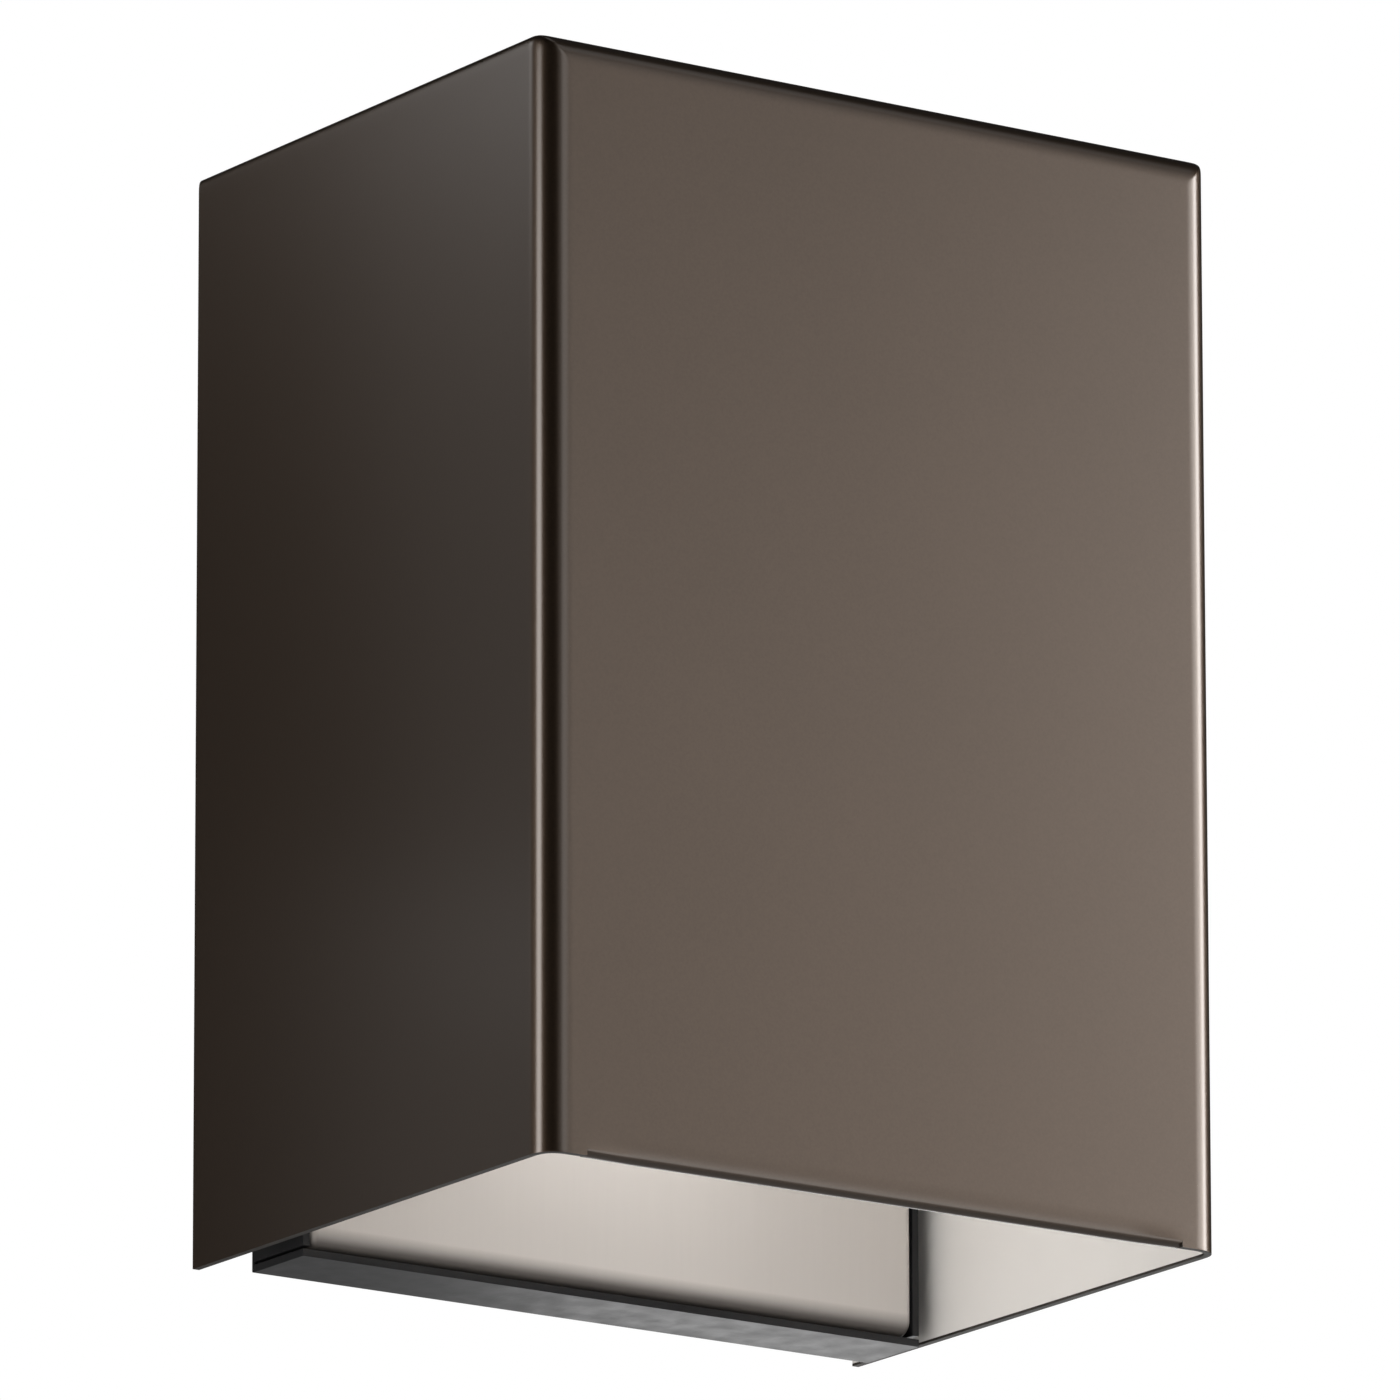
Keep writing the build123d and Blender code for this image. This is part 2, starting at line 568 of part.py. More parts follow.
# Lampholder: ceramic disc with two curved keyholes that lock the lamp's pins
with BuildPart() as lampholder:
    with BuildSketch(lamp_level(holder_bottom)):
        Circle(HOLDER_R)
    extrude(amount=HOLDER_HEIGHT)
    chamfer(lampholder.edges().filter_by(GeomType.CIRCLE), HOLDER_CHAMFER)
    with BuildSketch(lamp_level(holder_bottom)):
        for path in twist_paths:
            SlotArc(path, 2 * (PIN_STEM_R + FIT_GAP))
        with Locations(*way_out_places):
            Circle(PIN_HEAD_R + FIT_GAP)
    extrude(amount=SHELF_THICKNESS, mode=Mode.SUBTRACT)
    with BuildSketch(lamp_level(pocket_floor)):
        for path in twist_paths:
            SlotArc(path, 2 * (PIN_HEAD_R + FIT_GAP))
    extrude(amount=pocket_ceiling - pocket_floor, mode=Mode.SUBTRACT)
    with BuildSketch(lamp_level(holder_top)):
        with Locations((0, -HOLDER_SCREW_SPACING / 2), (0, HOLDER_SCREW_SPACING / 2)):
            Circle(HOLDER_SCREW_R + THREAD_GAP)
    extrude(amount=-HOLDER_SCREW_BITE, mode=Mode.SUBTRACT)
    with BuildSketch(lamp_level(holder_top)):
        with Locations(*[(x, 0) for x in lead_xs]):
            Circle(LEAD_R + THREAD_GAP)
    extrude(amount=-LEAD_SOCKET, mode=Mode.SUBTRACT)

with BuildPart() as lampholder_contacts:
    with BuildSketch(lamp_level(pocket_ceiling)):
        with Locations((-PIN_SPACING / 2, 0), (PIN_SPACING / 2, 0)):
            Rectangle(CONTACT_WIDTH, CONTACT_LENGTH)
    extrude(amount=-CONTACT_THICKNESS)

with BuildPart() as lampholder_screws:
    with BuildSketch(lamp_level(bracket_top)):
        with Locations((0, -HOLDER_SCREW_SPACING / 2), (0, HOLDER_SCREW_SPACING / 2)):
            Circle(LID_HEAD_R)
    extrude(amount=LID_HEAD_HEIGHT)
    chamfer(lampholder_screws.edges().group_by(Axis.Z)[-1], HEAD_CHAMFER)
    with BuildSketch(lamp_level(bracket_top)):
        with Locations((0, -HOLDER_SCREW_SPACING / 2), (0, HOLDER_SCREW_SPACING / 2)):
            Circle(HOLDER_SCREW_R)
    extrude(amount=-(BRACKET_SHEET + HOLDER_SCREW_BITE - FIT_GAP))

# Lamp leads: up from the holder, back through the lid and up into the terminal block
with BuildPart() as lamp_leads:
    for lead_x in lead_xs:
        lead_points = [
            (lead_x, -LAMP_OUT, holder_top - LEAD_SOCKET),
            (lead_x, -LAMP_OUT, lead_top_z),
            (lead_x, -terminal_out, lead_top_z),
            (lead_x, -terminal_out, block_bottom + INSERT_INSET),
        ]
        with BuildLine() as lead_route:
            FilletPolyline(*lead_points, radius=[LEAD_LOOP, LEAD_TURN])
        with BuildSketch(Plane(lead_points[0])):
            Circle(LEAD_R)
        sweep(path=lead_route.line)

# Lamp: finned body, lens, board with its chips, base and locking pins
with BuildPart() as lamp_housing:
    with BuildSketch(lamp_level(lamp_face_z)):
        with PolarLocations(LAMP_RIM_R / 2, FIN_COUNT):
            Rectangle(LAMP_RIM_R, FIN_THICKNESS)
    extrude(amount=LAMP_BODY_HEIGHT)
    fin_head_z = lamp_neck_z - FIN_FOOT
    with BuildSketch(lamp_side):
        with BuildLine():
            Polyline(
                (0, fin_foot_z),
                (LAMP_RIM_R, fin_foot_z),
                (LAMP_RIM_R, shoulder_z),
                (FIN_NECK_R, fin_head_z),
                (0, fin_head_z),
                close=True,
            )
        make_face()
    revolve(axis=lamp_axis, mode=Mode.INTERSECT)
    with BuildSketch(lamp_side):
        with BuildLine():
            Polyline(
                (0, lamp_face_z),
                (LAMP_RIM_R, lamp_face_z),
                (LAMP_RIM_R, fin_foot_z),
                (LAMP_SHOULDER_R, shoulder_z),
                (LAMP_NECK_R, lamp_neck_z),
                (0, lamp_neck_z),
                close=True,
            )
        make_face()
    revolve(axis=lamp_axis)
    # Hollow: a seat for the lens, a ledge for the board and room for its driver
    lens_seat_r = LAMP_RIM_R - LENS_LEDGE
    board_seat_r = LAMP_SHOULDER_R - LAMP_WALL
    with BuildSketch(lamp_side):
        with BuildLine():
            Polyline(
                (0, lamp_face_z),
                (lens_seat_r, lamp_face_z),
                (lens_seat_r, lens_back_z),
                (board_seat_r, lens_back_z),
                (board_seat_r, shoulder_z),
                (board_seat_r - LAMP_LEDGE, shoulder_z),
                (LAMP_NECK_R - LAMP_WALL, lamp_neck_z - LAMP_WALL),
                (0, lamp_neck_z - LAMP_WALL),
                close=True,
            )
        make_face()
    revolve(axis=lamp_axis, mode=Mode.SUBTRACT)

with BuildPart() as lamp_lens:
    with BuildSketch(lamp_level(lamp_face_z + LENS_RECESS)):
        Circle(lens_seat_r - THREAD_GAP)
    extrude(amount=LENS_THICKNESS)

with BuildPart() as led_board:
    with BuildSketch(lamp_level(board_front_z)):
        Circle(board_seat_r - THREAD_GAP)
    extrude(amount=BOARD_THICKNESS)

with BuildPart() as led_chips:
    with BuildSketch(lamp_level(board_front_z)):
        with PolarLocations(CHIP_CIRCLE_R, CHIP_COUNT):
            Rectangle(CHIP_SIZE, CHIP_SIZE)
    extrude(amount=-CHIP_HEIGHT)

with BuildPart() as lamp_base:
    with BuildSketch(lamp_level(lamp_neck_z)):
        Circle(BASE_R)
    extrude(amount=BASE_HEIGHT)
    chamfer(lamp_base.edges().group_by(Axis.Z)[-1], BASE_CHAMFER)

with BuildPart() as lamp_pins:
    with BuildSketch(lamp_level(lamp_top)):
        with Locations((-PIN_SPACING / 2, 0), (PIN_SPACING / 2, 0)):
            Circle(PIN_STEM_R)
    extrude(amount=pin_head_z - lamp_top)
    with BuildSketch(lamp_level(pin_head_z)):
        with Locations((-PIN_SPACING / 2, 0), (PIN_SPACING / 2, 0)):
            Circle(PIN_HEAD_R)
    extrude(amount=PIN_HEAD_HEIGHT)

pieces = {
    "cover_shell": cover_shell,
    "base_tray": base_tray,
    "reflector_lid": reflector_lid,
    "lid_standoffs": lid_standoffs,
    "lid_screws": lid_screws,
    "clamp_bar": clamp_bar,
    "cover_washers": cover_washers,
    **cover_screws,
    "mounting_strap": mounting_strap,
    "strap_studs": strap_studs,
    "stud_lock_nuts": stud_lock_nuts,
    "tray_washers": tray_washers,
    "tray_nuts": tray_nuts,
    "ground_screw": ground_screw,
    "wall_gasket": wall_gasket,
    "cable_grommet": cable_grommet,
    "lead_grommet": lead_grommet,
    "terminal_block": terminal_block,
    "terminal_inserts": terminal_inserts,
    "terminal_screws": terminal_screws,
    "terminal_fixing_screw": terminal_fixing_screw,
    "lamp_bracket": lamp_bracket,
    "bracket_rivets": bracket_rivets,
    "lampholder": lampholder,
    "lampholder_contacts": lampholder_contacts,
    "lampholder_screws": lampholder_screws,
    "lamp_leads": lamp_leads,
    "lamp_housing": lamp_housing,
    "lamp_lens": lamp_lens,
    "led_board": led_board,
    "led_chips": led_chips,
    "lamp_base": lamp_base,
    "lamp_pins": lamp_pins,
}

os.makedirs("parts", exist_ok=True)
for name, piece in pieces.items():
    piece.part.label = name
    export_step(piece.part, f"parts/{name}.step")
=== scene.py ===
import bpy
import bmesh
import json
import math
from mathutils import Matrix, Vector, noise


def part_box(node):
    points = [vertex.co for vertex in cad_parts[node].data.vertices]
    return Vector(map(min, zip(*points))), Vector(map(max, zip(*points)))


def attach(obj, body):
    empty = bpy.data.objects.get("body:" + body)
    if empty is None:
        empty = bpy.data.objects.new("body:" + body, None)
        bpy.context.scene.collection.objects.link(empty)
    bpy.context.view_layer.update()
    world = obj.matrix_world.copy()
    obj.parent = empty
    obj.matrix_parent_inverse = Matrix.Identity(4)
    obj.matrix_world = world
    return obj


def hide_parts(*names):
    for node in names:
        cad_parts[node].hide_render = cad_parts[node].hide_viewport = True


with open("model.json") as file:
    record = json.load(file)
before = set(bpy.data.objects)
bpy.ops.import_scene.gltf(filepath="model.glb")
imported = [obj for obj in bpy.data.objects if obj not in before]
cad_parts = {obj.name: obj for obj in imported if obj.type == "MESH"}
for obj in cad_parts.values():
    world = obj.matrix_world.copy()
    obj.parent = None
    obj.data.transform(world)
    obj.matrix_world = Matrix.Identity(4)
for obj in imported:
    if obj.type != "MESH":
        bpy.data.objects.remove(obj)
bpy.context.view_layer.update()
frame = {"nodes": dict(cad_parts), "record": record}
nodes = frame["nodes"]

# Lengths are in metres, in the part's own frame: X right, Y into the wall, Z up
MM = 0.001
TINY = 0.001 * MM
FORWARD = (0, -1, 0)
UPWARD = (0, 0, 1)
DOWNWARD = (0, 0, -1)
# A face whose normal has more than this cosine with a direction faces that way
FACING = 0.999

# Viewpoint of the photograph, about the middle of the cover. Lens and sensor are in millimetres
VIEW_TURN = math.radians(34.46)
VIEW_RISE = math.radians(-14.71)
VIEW_ROLL = math.radians(-0.12)
VIEW_DISTANCE = 2.656
VIEW_LENS = 433.8
VIEW_SENSOR = 36.0
VIEW_END = 60.0
AIM_RIGHT = -0.83 * MM
AIM_UP = 1.62 * MM

# Studio
FLOOR_Z = -4.0
FLOOR_SIZE = 44.0
BACKDROP_GLOW = 1.0
AMBIENT_GLOW = 0.30
REFLECTED_GLOW = 0.3
UPPER_GLOW = 0.05
FRONT_GLOW = 0.05
# Reflected glow fades between these upward and backward parts of a direction
UPPER_FADE = (-0.20, 0.10)
FRONT_FADE = (-0.5, 0.3)
LAMP_GLOW_GAP = 2.0 * MM
LAMP_GLOW_SIZE = 40.0 * MM
LAMP_GLOW_POWER = 0.036

# Cover: one folded sheet whose folds ease into its flat faces, with superellipses as sections
COVER_SHEET = 1.2 * MM
COVER_FOLD = 5.0 * MM
FOLD_POWER = 2.5
FOLD_PROFILE = 0.5 ** (2 / FOLD_POWER)
FOLD_STEPS = 20
SEAM_POWER = 9.0
SEAM_CROWDING = 1.6
HEM_HEIGHT = 9.0 * MM
HEM_INSET = 7.6 * MM
HEM_ROUND = 1.3 * MM
HEM_LEAN = math.radians(14)
HEM_LEAN_LENGTH = 3.0 * MM
HEM_DROP = 4.0 * MM
HEM_EASE = 10.0 * MM
HEM_EASE_STEPS = 6
HEM_STEPS = 12
PAINT_LAP = 0.4 * MM
SCREW_HOLE_R = 2.2 * MM
SCREW_HOLE_SIDES = 32
SCREW_HOLE_DEPTH = 8 * COVER_SHEET

# Small rounds on edges, and the angles from which an edge is rounded, shades sharp or is kept at all
EDGE_SOFT = 0.2 * MM
TRAY_SOFT = 0.55 * MM
EDGE_STEPS = 2
EDGE_ANGLE = math.radians(40)
SHADE_ANGLE = math.radians(35)
FLAT_ANGLE = math.radians(0.5)

# Lid: heights above its lower edge between which the painted shade on its lower fold fades to its pale
# colour
LID_FOLD_SHADE_FULL = 1.0 * MM
LID_FOLD_SHADE_GONE = 3.6 * MM

# Fasteners
LID_HEAD_R = 2.8 * MM
LID_HEAD_HEIGHT = 1.8 * MM
LID_SCREW_R = 1.5 * MM
COVER_HEAD_R = 4.0 * MM
COVER_HEAD_HEIGHT = 2.5 * MM
COVER_SCREW_R = 2.0 * MM
GROUND_HEAD_R = 4.0 * MM
GROUND_HEAD_HEIGHT = 2.4 * MM
GROUND_SCREW_R = 2.0 * MM
BLOCK_HEAD_R = 2.2 * MM
BLOCK_SCREW_R = 1.4 * MM
BLOCK_HEAD_HEIGHT = 1.6 * MM
RIVET_HEAD_R = 3.0 * MM
RIVET_HEAD_HEIGHT = 1.2 * MM
RIVET_R = 1.6 * MM
STUD_R = 2.0 * MM
NUT_FLATS = 7.0 * MM
THREAD_PITCH = 0.7 * MM
SCREW_SPIN_SEED = 4

# Details of fasteners, as shares of their own radius, height, thickness, length or pitch
TERMINAL_HEAD_SHARE = 1 / 3
CROSS_LENGTH = 1.15
CROSS_WIDTH = 0.24
SLOT_LENGTH = 3.0
SLOT_WIDTH = 0.3
SOCKET_REACH = 0.36
RECESS_CUT = 1.1
THREAD_RIDGE = 0.32
NUT_TURNING = 1.05
STUD_TIP_HEIGHT = 0.3
STUD_TIP_REACH = 0.8
RIVET_BORE_REACH = 0.55
RIVET_BORE_CUT = 1.2

# Powers of a dome's section: 1 is elliptic, and less is squarer
HEAD_POWER = 0.45
RIVET_POWER = 0.7
RIVET_TAIL_POWER = 0.8
STUD_TIP_POWER = 0.7
LENSLET_POWER = 0.9

# Lamp lens
LENSLET_STEP = 2.9 * MM
LENSLET_R = 1.4 * MM
LENSLET_HEIGHT = 0.5 * MM
LENS_MARGIN = 0.6 * MM

# Foam ring
GASKET_WIDTH = 9.0 * MM
GASKET_CORNER = 5.0 * MM
GASKET_INNER_CORNER = 0.8 * MM
GASKET_SQUARENESS = 7.0
GASKET_STEPS = 10
GASKET_SECTION = 28
FOAM_DENT = 0.14 * MM
FOAM_DENT_SCALE = 160

cover_low, cover_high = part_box("cover_shell")
cover_middle = (cover_low + cover_high) / 2
lid_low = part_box("reflector_lid")[0]
record = frame["record"]
body_of = {node: body for body, members in record["behaviour"]["bodies"].items() for node in members}


# Materials


class Shader:
    """A new procedural material, with short calls for its nodes."""

    def __init__(self, name, **sockets):
        self.material = bpy.data.materials.new(name)
        self.material.use_nodes = True
        self.tree = self.material.node_tree
        self.skin = self.tree.nodes["Principled BSDF"]
        for socket, value in sockets.items():
            self.skin.inputs[socket.replace("_", " ")].default_value = value
        self.place = self.node("ShaderNodeTexCoord").outputs["Object"]

    def node(self, kind, **settings):
        made = self.tree.nodes.new(kind)
        for key, value in settings.items():
            setattr(made, key, value)
        return made

    def link(self, source, target):
        self.tree.links.new(source, target)

    def stretched(self, scale):
        """Object coordinates stretched by a factor on each axis."""
        mapping = self.node("ShaderNodeMapping")
        mapping.inputs["Scale"].default_value = scale
        self.link(self.place, mapping.inputs["Vector"])
        return mapping.outputs["Vector"]

    def noise(self, scale, detail, place=None):
        made = self.node("ShaderNodeTexNoise")
        made.inputs["Scale"].default_value = scale
        made.inputs["Detail"].default_value = detail
        self.link(place or self.place, made.inputs["Vector"])
        return made.outputs["Fac"]

    def height(self):
        """Height in the part's own frame."""
        made = self.node("ShaderNodeSeparateXYZ")
        self.link(self.place, made.inputs["Vector"])
        return made.outputs["Z"]

    def cells(self, scale):
        made = self.node("ShaderNodeTexVoronoi", feature="F1")
        made.inputs["Scale"].default_value = scale
        self.link(self.place, made.inputs["Vector"])
        return made.outputs["Distance"]

    def span(self, value, low, high, from_low=0.3, from_high=0.7):
        """Value moved from one range to another."""
        made = self.node("ShaderNodeMapRange")
        self.link(value, made.inputs["Value"])
        made.inputs["From Min"].default_value = from_low
        made.inputs["From Max"].default_value = from_high
        made.inputs["To Min"].default_value = low
        made.inputs["To Max"].default_value = high
        return made.outputs["Result"]

    def tint(self, factor, first, second):
        """Colour that runs from first to second."""
        made = self.node("ShaderNodeMix", data_type="RGBA")
        if isinstance(factor, float):
            made.inputs["Factor"].default_value = factor
        else:
            self.link(factor, made.inputs["Factor"])
        for socket, value in (("A", first), ("B", second)):
            target = [s for s in made.inputs if s.name == socket and s.type == "RGBA"][0]
            if isinstance(value, tuple):
                target.default_value = (*value, 1.0)
            else:
                self.link(value, target)
        return [s for s in made.outputs if s.type == "RGBA"][0]

    def colour(self, value):
        self.link(value, self.skin.inputs["Base Color"])

    def gloss(self, value):
        self.link(value, self.skin.inputs["Roughness"])

    def bump(self, height, distance, strength):
        """Adds a bump on top of those already there."""
        made = self.node("ShaderNodeBump")
        made.inputs["Distance"].default_value = distance
        made.inputs["Strength"].default_value = strength
        self.link(height, made.inputs["Height"])
        before = self.skin.inputs["Normal"].links
        if before:
            self.link(before[0].from_socket, made.inputs["Normal"])
        self.link(made.outputs["Normal"], self.skin.inputs["Normal"])


def bronze_finish():
    """Satin dark bronze under a thin lacquer, with a fine metallic grain."""
    s = Shader("bronze_finish", Metallic=1.0, IOR=1.5, Coat_Weight=1.0, Coat_Roughness=0.23, Coat_IOR=1.8)
    cloud = s.span(s.noise(28, 3), 0.0, 1.0)
    grain = s.span(s.noise(2600, 2), 0.0, 1.0)
    base = s.tint(cloud, (0.079, 0.050, 0.030), (0.085, 0.054, 0.033))
    speck = s.tint(grain, (0.070, 0.044, 0.026), (0.096, 0.061, 0.037))
    s.colour(s.tint(0.4, base, speck))
    s.gloss(s.span(grain, 0.36, 0.44, 0.0, 1.0))
    s.bump(s.noise(1900, 2), 0.02 * MM, 0.35)
    return s.material


def pale_paint():
    """Warm white satin paint of the cover's inside."""
    s = Shader("pale_paint", Roughness=0.42, IOR=1.5)
    cloud = s.span(s.noise(35, 3), 0.0, 1.0)
    s.colour(s.tint(cloud, (0.79, 0.755, 0.715), (0.83, 0.795, 0.755)))
    s.bump(s.noise(1500, 2), 0.02 * MM, 0.3)
    return s.material


def bronze_edge():
    """Cut sheet edge, thinly coated."""
    s = Shader("bronze_edge", Metallic=0.2, Roughness=0.55)
    wear = s.span(s.noise(420, 3), 0.0, 1.0, 0.35, 0.65)
    s.colour(s.tint(wear, (0.022, 0.018, 0.014), (0.045, 0.037, 0.029)))
    return s.material


def black_paint():
    """Satin black of the wall tray."""
    s = Shader("black_paint", IOR=1.35)
    cloud = s.span(s.noise(60, 3), 0.0, 1.0)
    s.colour(s.tint(cloud, (0.010, 0.010, 0.011), (0.018, 0.018, 0.019)))
    s.gloss(s.span(s.noise(240, 3), 0.28, 0.38))
    s.bump(s.noise(1600, 2), 0.03 * MM, 0.4)
    return s.material


def pale_reflector():
    """Satin anodised sheet with fine upright grain, with painted shade that darkens it along its lower fold.
    """
    s = Shader("pale_reflector", Metallic=0.15, IOR=1.5)
    streak = s.noise(900, 3, place=s.stretched((1.0, 1.0, 0.04)))
    cloud = s.span(s.noise(24, 2), 0.0, 1.0)
    base = s.tint(cloud, (0.68, 0.635, 0.595), (0.71, 0.665, 0.625))
    tone = s.tint(s.span(streak, 0.0, 0.12), base, (0.62, 0.58, 0.54))
    # Painted shade: the colour darkens towards the lid's lower edge, across its lower fold
    fold = s.span(s.height(), 1.0, 0.0, lid_low.z + LID_FOLD_SHADE_FULL, lid_low.z + LID_FOLD_SHADE_GONE)
    s.colour(s.tint(fold, tone, (0.18, 0.16, 0.145)))
    s.gloss(s.span(streak, 0.36, 0.46))
    s.bump(streak, 0.015 * MM, 0.3)
    return s.material


def zinc_plate():
    """Zinc plated steel, mottled."""
    s = Shader("zinc_plate", Metallic=1.0)
    cloud = s.span(s.noise(170, 4), 0.0, 1.0)
    s.colour(s.tint(cloud, (0.50, 0.51, 0.53), (0.66, 0.67, 0.68)))
    s.gloss(s.span(s.noise(420, 3), 0.28, 0.45))
    s.bump(s.noise(900, 3), 0.03 * MM, 0.4)
    return s.material


def dyed_green():
    """Green dyed plating of the earth screw."""
    s = Shader("dyed_green", Metallic=0.7)
    s.colour(s.tint(s.span(s.noise(600, 3), 0.0, 1.0), (0.02, 0.16, 0.05), (0.04, 0.26, 0.09)))
    s.gloss(s.span(s.noise(900, 2), 0.3, 0.45))
    return s.material


def black_rubber():
    """Matt moulded rubber."""
    s = Shader("black_rubber", IOR=1.5)
    s.colour(s.tint(s.span(s.noise(300, 3), 0.0, 1.0), (0.014, 0.014, 0.014), (0.03, 0.03, 0.03)))
    s.gloss(s.span(s.noise(500, 2), 0.6, 0.75))
    s.bump(s.noise(2200, 3), 0.05 * MM, 0.5)
    return s.material


def black_foam():
    """Closed-cell foam with small pores, with painted shade darkening their hollows."""
    s = Shader("black_foam", Roughness=0.9)
    pores = s.cells(1100)
    # Painted shade: darker at the middle of each pore, where the bump dips
    s.colour(s.tint(s.span(pores, 0.0, 1.0, 0.1, 0.6), (0.012, 0.012, 0.012), (0.045, 0.045, 0.046)))
    s.bump(pores, 0.3 * MM, 0.8)
    return s.material


def holder_ceramic():
    """Glazed off-white ceramic with faint specks."""
    s = Shader("holder_ceramic", IOR=1.5)
    specks = s.span(s.noise(1300, 2), 0.0, 1.0, 0.62, 0.75)
    s.colour(s.tint(specks, (0.80, 0.775, 0.72), (0.52, 0.48, 0.42)))
    s.gloss(s.span(s.noise(90, 2), 0.16, 0.26))
    s.bump(s.noise(220, 2), 0.06 * MM, 0.4)
    return s.material


def moulded_white():
    """Moulded terminal plastic."""
    s = Shader("moulded_white", IOR=1.5)
    s.colour(s.tint(s.span(s.noise(80, 2), 0.0, 1.0), (0.72, 0.72, 0.69), (0.80, 0.80, 0.77)))
    s.gloss(s.span(s.noise(700, 2), 0.4, 0.55))
    s.bump(s.noise(1800, 2), 0.03 * MM, 0.5)
    return s.material


def plain_brass():
    """Brass with a light tarnish."""
    s = Shader("plain_brass", Metallic=1.0)
    tarnish = s.span(s.noise(380, 4), 0.0, 1.0)
    s.colour(s.tint(tarnish, (0.72, 0.53, 0.24), (0.50, 0.34, 0.14)))
    s.gloss(s.span(tarnish, 0.22, 0.42, 0.0, 1.0))
    return s.material


def lead_sleeve():
    """Woven glass sleeve of the lamp leads, with painted shade in the hollows of its weave."""
    s = Shader("lead_sleeve", Roughness=0.7)
    weave = s.cells(2300)
    # Painted shade: darker at the middle of each weave cell, where the bump dips
    s.colour(s.tint(s.span(weave, 0.0, 1.0, 0.1, 0.6), (0.62, 0.60, 0.54), (0.80, 0.78, 0.72)))
    s.bump(weave, 0.12 * MM, 0.7)
    return s.material


def lamp_aluminium():
    """Die-cast aluminium of the lamp, lightly blasted."""
    s = Shader("lamp_aluminium", Metallic=0.9)
    s.colour(s.tint(s.span(s.noise(240, 4), 0.0, 1.0), (0.62, 0.62, 0.63), (0.76, 0.76, 0.77)))
    s.gloss(s.span(s.noise(800, 3), 0.36, 0.5))
    s.bump(s.noise(2600, 2), 0.04 * MM, 0.5)
    return s.material


def frosted_lens():
    """Frosted clear lens, through which the light sources show as soft spots."""
    s = Shader("frosted_lens", IOR=1.49, Transmission_Weight=0.75)
    s.colour(s.tint(s.span(s.noise(120, 2), 0.0, 1.0), (0.90, 0.90, 0.87), (0.95, 0.95, 0.93)))
    s.gloss(s.span(s.noise(900, 2), 0.18, 0.28))
    return s.material


def white_board():
    """White lacquer of the board that carries the light sources."""
    s = Shader("white_board", IOR=1.5)
    s.colour(s.tint(s.span(s.noise(150, 3), 0.0, 1.0), (0.78, 0.78, 0.76), (0.85, 0.85, 0.83)))
    s.gloss(s.span(s.noise(600, 2), 0.3, 0.42))
    s.bump(s.noise(1200, 2), 0.02 * MM, 0.4)
    return s.material


def phosphor():
    """Yellow phosphor over a light source."""
    s = Shader("phosphor", IOR=1.45)
    s.colour(s.tint(s.span(s.noise(1800, 3), 0.0, 1.0), (0.86, 0.56, 0.06), (0.92, 0.68, 0.14)))
    s.gloss(s.span(s.noise(2400, 2), 0.35, 0.5))
    s.bump(s.noise(2600, 2), 0.04 * MM, 0.5)
    return s.material


finishes = {
    "bronze": bronze_finish(),
    "pale": pale_paint(),
    "edge": bronze_edge(),
    "black": black_paint(),
    "reflector": pale_reflector(),
    "zinc": zinc_plate(),
    "green": dyed_green(),
    "rubber": black_rubber(),
    "foam": black_foam(),
    "ceramic": holder_ceramic(),
    "white": moulded_white(),
    "brass": plain_brass(),
    "sleeve": lead_sleeve(),
    "aluminium": lamp_aluminium(),
    "lens": frosted_lens(),
    "board": white_board(),
    "phosphor": phosphor(),
}

# Solids whose shape is right as it is: the finish of each
plain_nodes = {
    "lid_standoffs": "zinc",
    "terminal_inserts": "brass",
    "lampholder_contacts": "brass",
    "lamp_leads": "sleeve",
    "led_chips": "phosphor",
    "lamp_pins": "brass",
}
for node, finish in plain_nodes.items():
    nodes[node].data.materials.clear()
    nodes[node].data.materials.append(finishes[finish])


# Meshes


def new_piece(name, bm, materials):
    """Object at the origin from a filled bmesh, which is freed."""
    mesh = bpy.data.meshes.new(name)
    bm.to_mesh(mesh)
    bm.free()
    for material in materials:
        mesh.materials.append(material)
    piece = bpy.data.objects.new(name, mesh)
    bpy.context.scene.collection.objects.link(piece)
    return piece


def settle(piece):
    """Replaces the piece's mesh by what its modifiers make of it."""
    depsgraph = bpy.context.evaluated_depsgraph_get()
    made = bpy.data.meshes.new_from_object(
        piece.evaluated_get(depsgraph), preserve_all_data_layers=True, depsgraph=depsgraph
    )
    piece.modifiers.clear()
    piece.data = made
    return piece


def soften(piece, width):
    """Small rounds on sharp edges, with flat faces kept flat in shade."""
    for polygon in piece.data.polygons:
        polygon.use_smooth = True
    rounds = piece.modifiers.new("rounds", "BEVEL")
    rounds.width = width
    rounds.segments = EDGE_STEPS
    rounds.limit_method = "ANGLE"
    rounds.angle_limit = EDGE_ANGLE
    shade = piece.modifiers.new("shade", "WEIGHTED_NORMAL")
    shade.keep_sharp = True
    return settle(piece)


def stand_for(piece, node):
    """The piece moves with, and shows instead of, the solids of a node."""
    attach(piece, body_of[node])
    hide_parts(node)
    return piece


# Cover


def folded_box(low, high, open_sides):
    """Box surface without its open sides, with a fold along every edge between closed sides."""
    bm = bmesh.new()
    bmesh.ops.create_cube(bm, size=1.0)
    bmesh.ops.scale(bm, vec=high - low, verts=bm.verts)
    bmesh.ops.translate(bm, vec=(low + high) / 2, verts=bm.verts)
    bm.normal_update()

    def is_open(face):
        return any(face.normal.dot(side) > FACING for side in open_sides)

    folds = [e for e in bm.edges if not any(is_open(f) for f in e.link_faces)]
    bmesh.ops.bevel(
        bm, geom=folds, offset=COVER_FOLD, offset_type="OFFSET", segments=FOLD_STEPS,
        profile=FOLD_PROFILE, affect="EDGES",
    )
    bm.normal_update()
    bmesh.ops.delete(bm, geom=[f for f in bm.faces if is_open(f)], context="FACES")
    return bm


